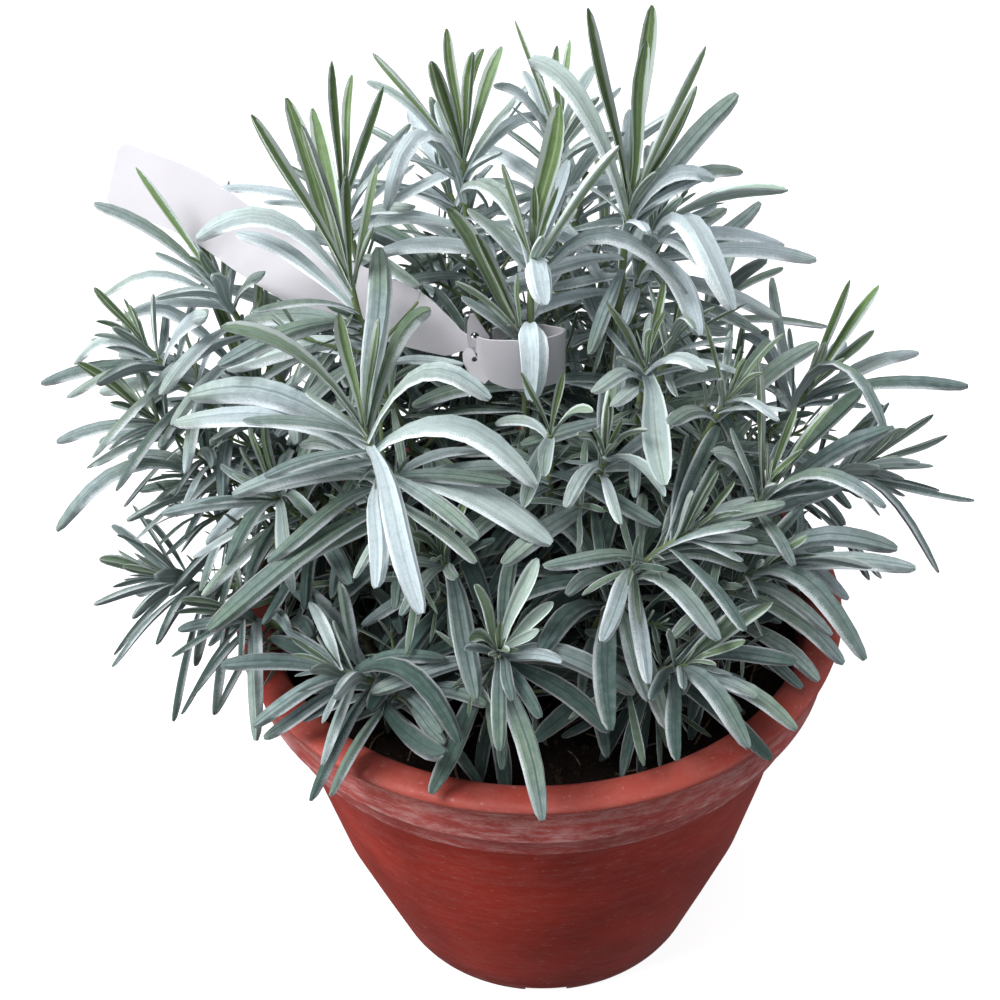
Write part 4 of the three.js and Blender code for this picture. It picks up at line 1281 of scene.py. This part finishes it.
def hidesLabel(batch):
    # Nothing that is grown by rule stands in front of the label's loop or its tail
    low = np.array(filling["clearLow"])
    high = np.array(filling["clearHigh"])
    inBand = ((batch["points"] > low) & (batch["points"] < high)).all(axis=1)
    right, upward, away = sightLine(batch["points"])
    tailRight, tailUpward, tailAway = sightLine([station[0] for station in labelTail])
    level = np.abs(upward - np.interp(right, tailRight, tailUpward)) < filling["clearTail"]
    nearer = away < np.interp(right, tailRight, tailAway)
    inTail = level & nearer & (right > tailRight[0]) & (right < tailRight[-1])
    return inBand.any() or inTail.any()


def growLargeLeaves(shoot):
    for index, entry in enumerate(shoot["large"]):
        told = oddLeaves.get((shoot["owner"], index), {})
        if "middle" in told:
            leaf = largeLeaf(shoot["stem"], entry, 0, None)
            line = (leaf["line"][0], np.array(told["middle"], float), np.array(told["tip"], float))
            leaf.update(line=line, half=told["half"], entry=index)
            keep(leafBalls(leaf, shoot["owner"]))
            shoot["leaves"].append(leaf)
        else:
            settle(shoot, lambda attempt, draw: largeLeaf(shoot["stem"], entry, attempt, draw),
                   shoot["owner"] * 1000 + index * 20, leafForm["tries"], leafForm["spare"], entry=index)


def firstTurn(shoot, seed):
    return makeRandom(shoot["owner"] * 7 + seed)(0, 90)


def growRankLeaves(shoot):
    turn = firstTurn(shoot, seeds["pairTurn"])
    used = frontRanks if shoot["large"] else backRanks
    places = [(rank, partner) for rank in used for partner in (0, 1)]
    for index, (rank, partner) in enumerate(places, len(shoot["large"])):
        settle(shoot, lambda attempt, draw: rankLeaf(shoot["stem"], rank, partner, turn, attempt, draw),
               shoot["owner"] * 1000 + index * 20, leafForm["tries"], leafForm["spare"], avoid=hidesLabel)


def fillIn(shoot, stem, rank, bearing, seed, **marks):
    settle(shoot, lambda attempt, draw: nodeLeaf(stem, rank, bearing, 1 + 0.5 * attempt, 1 + 0.4 * attempt,
                                                 1 - 0.06 * attempt, draw),
           seed, filling["attempts"], filling["spare"], (-1, 0, 1), hidesLabel, **marks)


def fillPairs(shoot, pairs, turn, seed):
    stem = shoot["stem"]
    for number, rank in enumerate(pairs):
        if rank[0] > filling["outerPairs"] and not isInside(placeBack(stem, rank[0])[0]):
            continue
        for partner in (0, 1):
            fillIn(shoot, stem, rank, turn + 90 * number + 180 * partner,
                   seed + shoot["owner"] * 1000 + number * 20 + partner * 7)


def fillBuds(shoot):
    owner = shoot["owner"]
    draw = makeRandom(seeds["buds"] + owner)
    for index in range(filling["budLeaves"]):
        rank = [filling["budBelow"], draw(*filling["budSize"]), draw(*filling["budLean"]), 0]
        fillIn(shoot, shoot["stem"], rank, filling["budTurn"] * index,
               seeds["budLeaves"] + owner * 100 + index * 7, tuft=True)


def fillOutside(shoot):
    turn = firstTurn(shoot, seeds["pairTurn"])
    pairs = list(filling["crownPairs"]) if shoot["large"] else []
    low, high = filling["lowLean"]
    for distance in filling["lowPairs"]:
        if distance <= shoot["stem"]["length"] - filling["bareFoot"]:
            part = min(1, distance / filling["leastFrom"])
            size = filling["lowSize"] + (filling["leastSize"] - filling["lowSize"]) * part
            pairs.append([distance, size, low + (high - low) * part, filling["lowDroop"]])
    fillPairs(shoot, pairs, turn + 45, seeds["pairs"])
    if placeBack(shoot["stem"], 0)[0][0] < filling["sprayWest"]:
        fillPairs(shoot, filling["sprayPairs"], turn + 20, seeds["sprays"])
    fillBuds(shoot)


def insidePlaces(stem, start, step):
    # Both sides of each node down a stem where the plant is filled in: its number, distance and side
    for number, distance in enumerate(np.arange(start, stem["length"] - filling["bareFoot"], step)):
        if isInside(placeBack(stem, distance)[0]):
            yield number, distance, 0
            yield number, distance, 1


def growSideShoot(shoot, distance, bearing, seed):
    draw = makeRandom(seed)
    root, along = placeBack(shoot["stem"], distance)
    outward = aroundStem(along, math.radians(bearing))
    lean = math.radians(filling["sideLean"] + draw(-filling["sideWander"], filling["sideWander"]))
    first = unit(along * math.cos(lean) + outward * math.sin(lean))
    length = draw(*filling["sideLength"])
    arriving = unit(first + up * draw(*filling["sideRise"]))
    tip = root + first * length * 0.5 + arriving * length * 0.5
    side = measured(np.array([root, root + first * length * 0.25, tip - arriving * length * 0.25, tip]))
    points = cubicPoints(side["curve"], np.linspace(0.15, 1, 8))
    batch = makeBatch(points, filling["sideBall"], np.linspace(2, length, len(points)), shoot["owner"])
    if not isFree(batch, filling["spare"]):
        return
    keep(batch)
    grown = len(shoot["leaves"])
    below = filling["sideStart"]
    for number, size in enumerate(filling["sideSizes"]):
        if below > length - filling["sideBare"]:
            break
        for partner in (0, 1):
            rank = [below, size * draw(0.85, 1.15), 12 + 15 * number, 0.12 * number]
            fillIn(shoot, side, rank, draw(0, 20) + 90 * number + 180 * partner,
                   seed + 7 + number * 20 + partner * 9, tuft=True)
        below += filling["sideGap"] * (0.5 + 0.25 * number)
    if len(shoot["leaves"]) > grown:
        shoot["sides"].append(side)


def fillInside(shoot):
    stem = shoot["stem"]
    owner = shoot["owner"]
    turn = firstTurn(shoot, seeds["sideTurn"])
    for number, distance, partner in insidePlaces(stem, filling["sideFrom"], filling["sideEvery"]):
        growSideShoot(shoot, distance, turn + 90 * number + 180 * partner + 20,
                      seeds["sides"] + owner * 3000 + number * 400 + partner * 200)
    for number, distance, partner in insidePlaces(stem, filling["tuftFrom"], filling["tuftEvery"]):
        draw = makeRandom(seeds["tufts"] + owner * 500 + number * 2 + partner)
        for index in range(filling["tuftLeaves"]):
            bearing = turn + 45 + 90 * number + 180 * partner + draw(-50, 50)
            rank = [distance + draw(-2, 2),
                    *[draw(*filling[name]) for name in ("tuftSize", "tuftLean", "tuftDroop")]]
            seed = seeds["tuftLeaves"] + owner * 1000 + number * 40 + partner * 20 + index * 3
            fillIn(shoot, stem, rank, bearing, seed, tuft=True)


def growPlant():
    shoots = [{"owner": owner, "foot": foot, "stem": makeStem(foot, crown, heading), "large": large,
               "leaves": [], "sides": []}
              for owner, (foot, crown, heading, large) in enumerate(frontShoots + backRowShoots())]
    keep(labelBalls())
    for shoot in shoots:
        keep(stemBalls(shoot))
    for grow in (growLargeLeaves, growRankLeaves, fillOutside, fillInside):
        for shoot in shoots:
            grow(shoot)
    return shoots


# Leaves: one master of each shape, as a ring of points across the blade in half breadths, drawn out along
# it in the steps of its stations, [place, breadth]

leafShapes = {
    "arching": {
        "ring": [(-1, -0.5), (-0.58, 0.13), (0, -0.13), (0.58, 0.13), (1, -0.5), (0, -0.62)],
        "topPoints": 5,
        "stations": [(0, 0.4), (0.12, 0.43), (0.25, 0.62), (0.38, 0.82), (0.51, 0.95), (0.64, 1),
                     (0.77, 0.98), (0.89, 0.86), (0.965, 0.63), (1, 0.3)],
    },
    "rolled": {
        "ring": [(-0.97, -0.72), (-0.68, 0.16), (0, -0.1), (0.68, 0.16), (0.97, -0.72), (0, -0.62)],
        "topPoints": 5,
        "stations": [(0, 0.42), (0.12, 0.48), (0.25, 0.68), (0.38, 0.87), (0.51, 0.98), (0.64, 1),
                     (0.77, 0.96), (0.89, 0.82), (0.965, 0.58), (1, 0.28)],
    },
    "cupped": {
        "ring": [(-1, 0.42), (-0.5, -0.14), (0, -0.14), (0.5, -0.14), (1, 0.42), (0, -0.56)],
        "topPoints": 5,
        "stations": [(0, 0.46), (0.12, 0.46), (0.25, 0.56), (0.38, 0.72), (0.51, 0.88), (0.64, 0.98),
                     (0.77, 0.98), (0.88, 0.84), (0.96, 0.56), (1, 0.18)],
    },
    "tuft": {
        "ring": [(-1, -0.36), (-0.4, 0.14), (0.4, 0.14), (1, -0.36), (0, -0.52)],
        "topPoints": 4,
        "stations": [(0, 0.44), (0.2, 0.62), (0.4, 0.86), (0.6, 1), (0.78, 0.97), (0.92, 0.7), (1, 0.22)],
    },
}

# How the blades differ from their plain middle lines: narrower, and arched a little more
leafLook = {
    "largeBreadth": 1,
    "youngBreadth": 0.76,
    "breadth": 0.88,
    "smallBreadth": 0.8,
    "arch": 0.035,
    "wave": 0.02,
    "twist": 0.4,
    "toneAndPaintedLight": (0.62, 1.46),
    "tuftTone": (0.6, 1.1),
    "youngWithin": 8,
    "cuppedWithin": 3.5,
    "tuftBelow": 22,
    "rolledPart": 0.45,
}

leafFelt = {
    "oldCentre": "#57716A",
    "oldFelted": "#9EA9AD",
    "sageFelted": "#94A390",
    "youngCentre": "#546D3A",
    "youngFelted": "#7B926D",
    "oldMargin": "#CDD4D7",
    "youngMargin": "#C6D1CC",
    "oldGroove": "#4A615E",
    "youngRib": "#93A677",
    "oldUnderside": "#94A3A2",
    "youngUnderside": "#6A854C",
    "rib": "#BEC8C4",
    "stemGreen": "#6C7D52",
    "bark": "#3E3126",
    "hairLength": 0.35,
    "mottle": 3.2,
    "drift": 45,
    "veins": 11,
    "darkest": 0.14,
    "palest": 1.6,
    "bareTone": 0.5,
    "feltedTone": 1.5,
    # Heights between which grown leaves go from painted shade low down to painted light at the top
    "lowest": 190,
    "highest": 330,
    "lowPaintedShade": -0.3,
    "highPaintedLight": 0.48,
}

# Leaves low down and deep inside are painted darker, as painted shade where the plant shades itself, and
# show less felt: darkest at the middle of the plant, as parts of the way out
paintedShadeHeart = {
    "centre": (-5, 10, 125),
    "reach": (160, 135, 215),
    "dark": 0.36,
    "light": 0.9,
    "least": 0.12,
}


def makeLeafMaster(name, shape, materials):
    ring = shape["ring"]
    stations = shape["stations"]
    master = addPiece(bpy.ops.mesh.primitive_circle_add, vertices=len(ring), radius=1, fill_type="NOTHING")
    master.name = name
    width = stations[0][1]
    writePoints(master.data, [(x * width, 0, z * width) for x, z in ring])
    startEditing(master)
    for (before, narrow), (place, wide) in zip(stations, stations[1:]):
        bpy.ops.mesh.extrude_edges_move(TRANSFORM_OT_translate={"value": (0, place - before, 0)})
        bpy.ops.transform.resize(value=(wide / narrow, 1, wide / narrow), center_override=(0, place, 0))
    bpy.ops.mesh.edge_face_add()
    finishEditing()
    smoothShade(master, 75)
    setMaterials(master, *materials)
    points = readPoints(master.data)
    breadth = np.interp(points[:, 1], [place for place, _ in stations], [part for _, part in stations])
    crosswise = points[:, 0] / breadth
    # The last points of the ring are the underside's, which is another felt
    count = len(ring)
    for face in master.data.polygons:
        numbers = [index % count for index in face.vertices]
        under = any(number >= shape["topPoints"] for number in numbers)
        face.material_index = 1 if under and len(numbers) == 4 else 0
    layer = master.data.uv_layers.active
    for loop in master.data.loops:
        index = loop.vertex_index
        layer.data[loop.index].uv = (0.5 + 0.5 * crosswise[index], points[index, 1])
    for attribute in ("age", "toneAndPaintedLight"):
        master.data.attributes.new(attribute, "FLOAT", "POINT")
    return master


def readLeaf(tree):
    onLeaf = addNode(tree, "ShaderNodeSeparateXYZ", {0: addNode(tree, "ShaderNodeUVMap").outputs[0]}).outputs
    across = worked(tree, "ABSOLUTE", worked(tree, "MULTIPLY_ADD", onLeaf["X"], 2, -1))
    age, toneAndPaintedLight = [addNode(tree, "ShaderNodeAttribute", attribute_name=name).outputs["Fac"]
                 for name in ("age", "toneAndPaintedLight")]
    hairs = noise(tree, objectPlace(tree), 1 / (leafFelt["hairLength"] * mm), 3)
    return onLeaf, across, age, toneAndPaintedLight, hairs


def setFelt(tree, shader, colour, toneAndPaintedLight, *shades):
    # Brightness of the felt: random differences, and painted light and shade over the plant
    value = ranged(tree, toneAndPaintedLight, 0, 2, leafFelt["darkest"], leafFelt["palest"])
    for shade in shades:
        value = worked(tree, "MULTIPLY", value, shade)
    toned = addNode(tree, "ShaderNodeHueSaturation", {"Value": value, "Color": colour})
    setColour(tree, shader, toned.outputs[0])


def leafTopMaterial():
    material, tree, shader = startMaterial(
        "silver leaf felt", Roughness=0.84, IOR=1.4, Sheen_Weight=0.22, Sheen_Roughness=0.4,
        Sheen_Tint=(0.96, 0.98, 1, 1), Specular_IOR_Level=0.3)
    onLeaf, across, age, toneAndPaintedLight, hairs = readLeaf(tree)
    place = objectPlace(tree)
    bare, felted, margin, groove = [
        mixed(tree, age, leafFelt[young], leafFelt[old])
        for young, old in (("youngCentre", "oldCentre"), ("youngFelted", "oldFelted"),
                           ("youngMargin", "oldMargin"), ("youngRib", "oldGroove"))]
    # The felt drifts from blue-grey to sage over the plant. The palest blades are felted all over and
    # hardly show that, or their groove
    showing = ranged(tree, toneAndPaintedLight, 1, 1.9, 1, 0)
    drift = noise(tree, place, 1 / (leafFelt["drift"] * mm), 1)
    toSage = worked(tree, "MULTIPLY", ranged(tree, drift, 0.4, 0.6), age)
    toSage = worked(tree, "MULTIPLY", toSage, showing)
    felted = mixed(tree, toSage, felted, leafFelt["sageFelted"])
    patches = ranged(tree, noise(tree, place, 1 / (leafFelt["mottle"] * mm), 4), 0.3, 0.7, -0.2, 0.2)
    cover = ranged(tree, toneAndPaintedLight, leafFelt["bareTone"], leafFelt["feltedTone"])
    colour = mixed(tree, worked(tree, "ADD", cover, patches, clamp=True), bare, felted)
    # One groove along the middle and a faint fold on each side, painted darker on grown leaves: partly their
    # own colour, partly painted shade in these creases
    middle = ranged(tree, across, 0.02, 0.15, 0.72, 0, "SMOOTHSTEP")
    fromFold = worked(tree, "ABSOLUTE", worked(tree, "SUBTRACT", across, 0.62))
    fold = worked(tree, "MULTIPLY", ranged(tree, fromFold, 0.02, 0.12, 0.1, 0, "SMOOTHSTEP"), age)
    lines = worked(tree, "MULTIPLY", worked(tree, "MAXIMUM", middle, fold), showing)
    colour = mixed(tree, lines, colour, groove)
    # Young leaves have the broader pale margins
    uneven = worked(tree, "MULTIPLY_ADD", hairs, 0.24, across)
    fromMargin = worked(tree, "MULTIPLY_ADD", age, -0.1, uneven)
    colour = mixed(tree, ranged(tree, fromMargin, 0.79, 0.95, 0, 1, "SMOOTHSTEP"), colour, margin)
    # Fine veins run along the blade, about half a millimetre apart, and no two blades have the same
    veinPlace = addNode(tree, "ShaderNodeCombineXYZ", {0: onLeaf["X"], 1: onLeaf["Y"], 2: toneAndPaintedLight}).outputs[0]
    veins = noise(tree, stretched(tree, veinPlace, (leafFelt["veins"], 2.5, 9)), 1, 3, 0.6)
    grainy = ranged(tree, hairs, 0.3, 0.7, 0.84, 1.14)
    setFelt(tree, shader, colour, toneAndPaintedLight, grainy, ranged(tree, veins, 0.32, 0.68, 0.86, 1.12))
    addRelief(tree, shader, worked(tree, "MULTIPLY_ADD", veins, 1.4, hairs), 0.6, 0.3)
    return material


def leafUndersideMaterial():
    material, tree, shader = startMaterial(
        "pale underside felt", Roughness=0.86, IOR=1.4, Sheen_Weight=0.22, Sheen_Roughness=0.45,
        Specular_IOR_Level=0.3)
    _, across, age, toneAndPaintedLight, hairs = readLeaf(tree)
    rib = ranged(tree, across, 0.05, 0.16, 0.8, 0, "SMOOTHSTEP")
    fromMargin = worked(tree, "MULTIPLY_ADD", age, -0.2, across)
    margin = ranged(tree, fromMargin, 0.54, 0.68, 0, 0.95, "SMOOTHSTEP")
    felt = mixed(tree, age, leafFelt["youngUnderside"], leafFelt["oldUnderside"])
    ribbed = mixed(tree, worked(tree, "MAXIMUM", rib, margin), felt, leafFelt["rib"])
    setFelt(tree, shader, ribbed, toneAndPaintedLight, ranged(tree, hairs, 0.3, 0.7, 0.9, 1.08))
    addRelief(tree, shader, hairs, 0.5, 0.25)
    return material


def stemMaterial():
    material, tree, shader = startMaterial(
        "downy stem turning to bark", Roughness=0.85, IOR=1.4, Sheen_Weight=0.2)
    age = addNode(tree, "ShaderNodeAttribute", attribute_name="age").outputs["Fac"]
    bark = noise(tree, stretched(tree, objectPlace(tree), (1, 1, 0.25)), 700, 5)
    woody = ranged(tree, worked(tree, "MULTIPLY_ADD", bark, 0.5, age), 0.65, 1)
    setColour(tree, shader, mixed(tree, woody, leafFelt["stemGreen"], leafFelt["bark"]))
    addRelief(tree, shader, bark, 0.6, 0.4)
    return material


# What single leaves look like where it isn't the rule: (shoot, leaf) with its look, and with its control
# point, tip and half breadth where it hangs otherwise
oddLeaves = {
    (0, 9): {"age": 0.9, "toneAndPaintedLight": 1.7, "shape": "arching"},
    (1, 3): {"age": 0.9},
    (1, 5): {"age": 0.75, "toneAndPaintedLight": 1.5},
    (1, 6): {"age": 0.7, "toneAndPaintedLight": 1.4},
    (1, 7): {"age": 0.7, "toneAndPaintedLight": 1.5},
    (8, 5): {"age": 0.85, "toneAndPaintedLight": 1.75, "shape": "arching"},
    (8, 6): {"age": 0.85, "toneAndPaintedLight": 1.8, "shape": "arching"},
    # These two front leaves over the band are painted palest: felted all over, and painted light where they
    # hang in the shade of the leaves above
    (22, 8): {"age": 1, "toneAndPaintedLight": 2, "shape": "arching", "middle": (-1, -47, 336), "tip": (-2, -42, 296),
              "half": 5.6},
    (22, 7): {"age": 1, "toneAndPaintedLight": 2, "shape": "arching", "middle": (2, -34, 354), "tip": (4, -46, 339),
              "half": 4.8},
}


def bendLeaf(master, leaf, name, look):
    copy = copyMaster(master)
    copy.name = name
    rest = readPoints(master.data)
    s = rest[:, 1]
    centre, across, over = bladeFrames(leaf, s)
    bulge = np.sin(math.pi * s) * leafLook["arch"] * leaf["length"]
    wave = np.sin(2 * math.pi * s) * look["wave"] * leaf["length"]
    centre = centre + up * bulge[:, None] + across * wave[:, None]
    twist = look["twist"] * s
    turnedAcross = across * np.cos(twist)[:, None] + over * np.sin(twist)[:, None]
    turnedOver = over * np.cos(twist)[:, None] - across * np.sin(twist)[:, None]
    size = "largeBreadth" if "entry" in leaf else "smallBreadth" if look["shape"] == "tuft" else "breadth"
    maturity = leafLook["youngBreadth"] + (1 - leafLook["youngBreadth"]) * look["age"]
    half = leaf["half"] * leafLook[size] * maturity
    points = centre + turnedAcross * (rest[:, 0] * half)[:, None] + turnedOver * (rest[:, 2] * half)[:, None]
    copy.data.vertices.foreach_set("co", (points * mm).ravel())
    copy.data.attributes["age"].data.foreach_set("value", np.full(len(s), look["age"]))
    # The leaf's brightness is multiplied by the painted shade inside the plant
    copy.data.attributes["toneAndPaintedLight"].data.foreach_set("value", look["toneAndPaintedLight"] * paintedInnerShade(points))
    return copy


def paintedInnerShade(points):
    # Painted shade: a factor that darkens each point the deeper it lies inside the plant
    out = np.linalg.norm((points - paintedShadeHeart["centre"]) / paintedShadeHeart["reach"], axis=1)
    part = np.clip((out - paintedShadeHeart["dark"]) / (paintedShadeHeart["light"] - paintedShadeHeart["dark"]), 0, 1)
    return paintedShadeHeart["least"] + (1 - paintedShadeHeart["least"]) * part


def lookOf(leaf, owner, number):
    draw = makeRandom(seeds["looks"] + owner * 1000 + number * 3)
    # The upright leaves at a crown are young and green, and those that arch away from it are silver
    root, _, tip = leaf["line"]
    rise = (tip[2] - root[2]) / leaf["length"]
    age = min(1, max(0, (leaf["below"] - 0.5) / leafLook["youngWithin"] + 1.5 * (0.8 - rise)))
    twist = leafLook["twist"]
    look = {"age": age, "toneAndPaintedLight": draw(*leafLook["toneAndPaintedLight"]), "twist": draw(-twist, twist)}
    # Grown leaves are painted paler towards the top of the plant and darker low down, as painted light and
    # shade, which also gives the upper ones more felt
    heights = (leafFelt["lowest"], leafFelt["highest"])
    look["toneAndPaintedLight"] += age * float(np.interp(root[2], heights, (leafFelt["lowPaintedShade"], leafFelt["highPaintedLight"])))
    look["wave"] = draw(-1, 1) * leafLook["wave"]
    if leaf.get("tuft"):
        look["age"] = 0.35 + 0.5 * draw()
        look["toneAndPaintedLight"] = draw(*leafLook["tuftTone"])
        look["shape"] = "tuft"
    elif leaf["length"] < leafLook["tuftBelow"]:
        look["shape"] = "tuft"
    elif leaf["below"] < leafLook["cuppedWithin"]:
        look["shape"] = "cupped"
    else:
        look["shape"] = "rolled" if draw() < leafLook["rolledPart"] else "arching"
    if "entry" in leaf:
        look.update(oddLeaves.get((owner, leaf["entry"]), {}))
    return look


def bendStem(stem, name, foot, radii, materials):
    curve = addPiece(bpy.ops.curve.primitive_bezier_curve_add)
    curve.name = name
    spline = curve.data.splines[0]
    start, rising, arriving, end = stem["curve"] * mm
    knots = [(start, start * 2 - rising, rising), (end, arriving, end * 2 - arriving)]
    if foot is not None:
        spline.bezier_points.add(1)
        low = np.array([foot[0], foot[1], compost["level"] - stemForm["rootDepth"]]) * mm
        short = up * stemForm["footHandle"] * mm
        knots.insert(0, (low, low - short, low + short))
        knots[1] = (start, start - short, rising)
    for point, (place, before, after), radius in zip(spline.bezier_points, knots, radii):
        point.handle_left_type = "FREE"
        point.handle_right_type = "FREE"
        point.co = place
        point.handle_left = before
        point.handle_right = after
        point.radius = radius
    curve.data.bevel_depth = 1 * mm
    curve.data.bevel_resolution = 1
    curve.data.resolution_u = 14
    curve.data.use_fill_caps = True
    bpy.ops.object.convert(target="MESH")
    piece = bpy.context.object
    points = readPoints(piece.data) / mm
    low = compost["level"]
    top = float(end[2]) / mm
    age = np.clip((top - points[:, 2]) / max(1, top - low), 0, 1)
    for attribute, values in (("age", age), ("toneAndPaintedLight", np.full(len(points), stemForm["toneAndPaintedLight"]))):
        piece.data.attributes.new(attribute, "FLOAT", "POINT").data.foreach_set("value", values)
    if not piece.data.uv_layers:
        piece.data.uv_layers.new(name="UVMap")
    setMaterials(piece, *materials)
    for face in piece.data.polygons:
        face.material_index = 2
        face.use_smooth = True
    return piece


def makePlant():
    shoots = growPlant()
    print("leaves grown:", sum(len(shoot["leaves"]) for shoot in shoots))
    materials = [leafTopMaterial(), leafUndersideMaterial(), stemMaterial()]
    masters = {name: makeLeafMaster(name, shape, materials) for name, shape in leafShapes.items()}
    radii = (stemForm["footRadius"], stemForm["footRadius"], stemForm["tipRadius"])
    thin = (stemForm["sideRadius"], stemForm["sideRadius"] * stemForm["sideTaper"])
    for shoot in shoots:
        owner = shoot["owner"]
        name = f"leafy_shoot_{owner + 1:02d}"
        pieces = [bendStem(shoot["stem"], name, shoot["foot"], radii, materials)]
        pieces += [bendStem(side, name + "_side", None, thin, materials) for side in shoot["sides"]]
        for number, leaf in enumerate(shoot["leaves"]):
            look = lookOf(leaf, owner, number)
            pieces.append(bendLeaf(masters[look["shape"]], leaf, f"{name}_leaf", look))
        piece = joinPieces(pieces, name)
        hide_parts(f"leafy_stem_{owner + 1:02d}")
        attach(piece, "root")
    for master in masters.values():
        bpy.data.objects.remove(master)


makePlant()
print("plant is made")
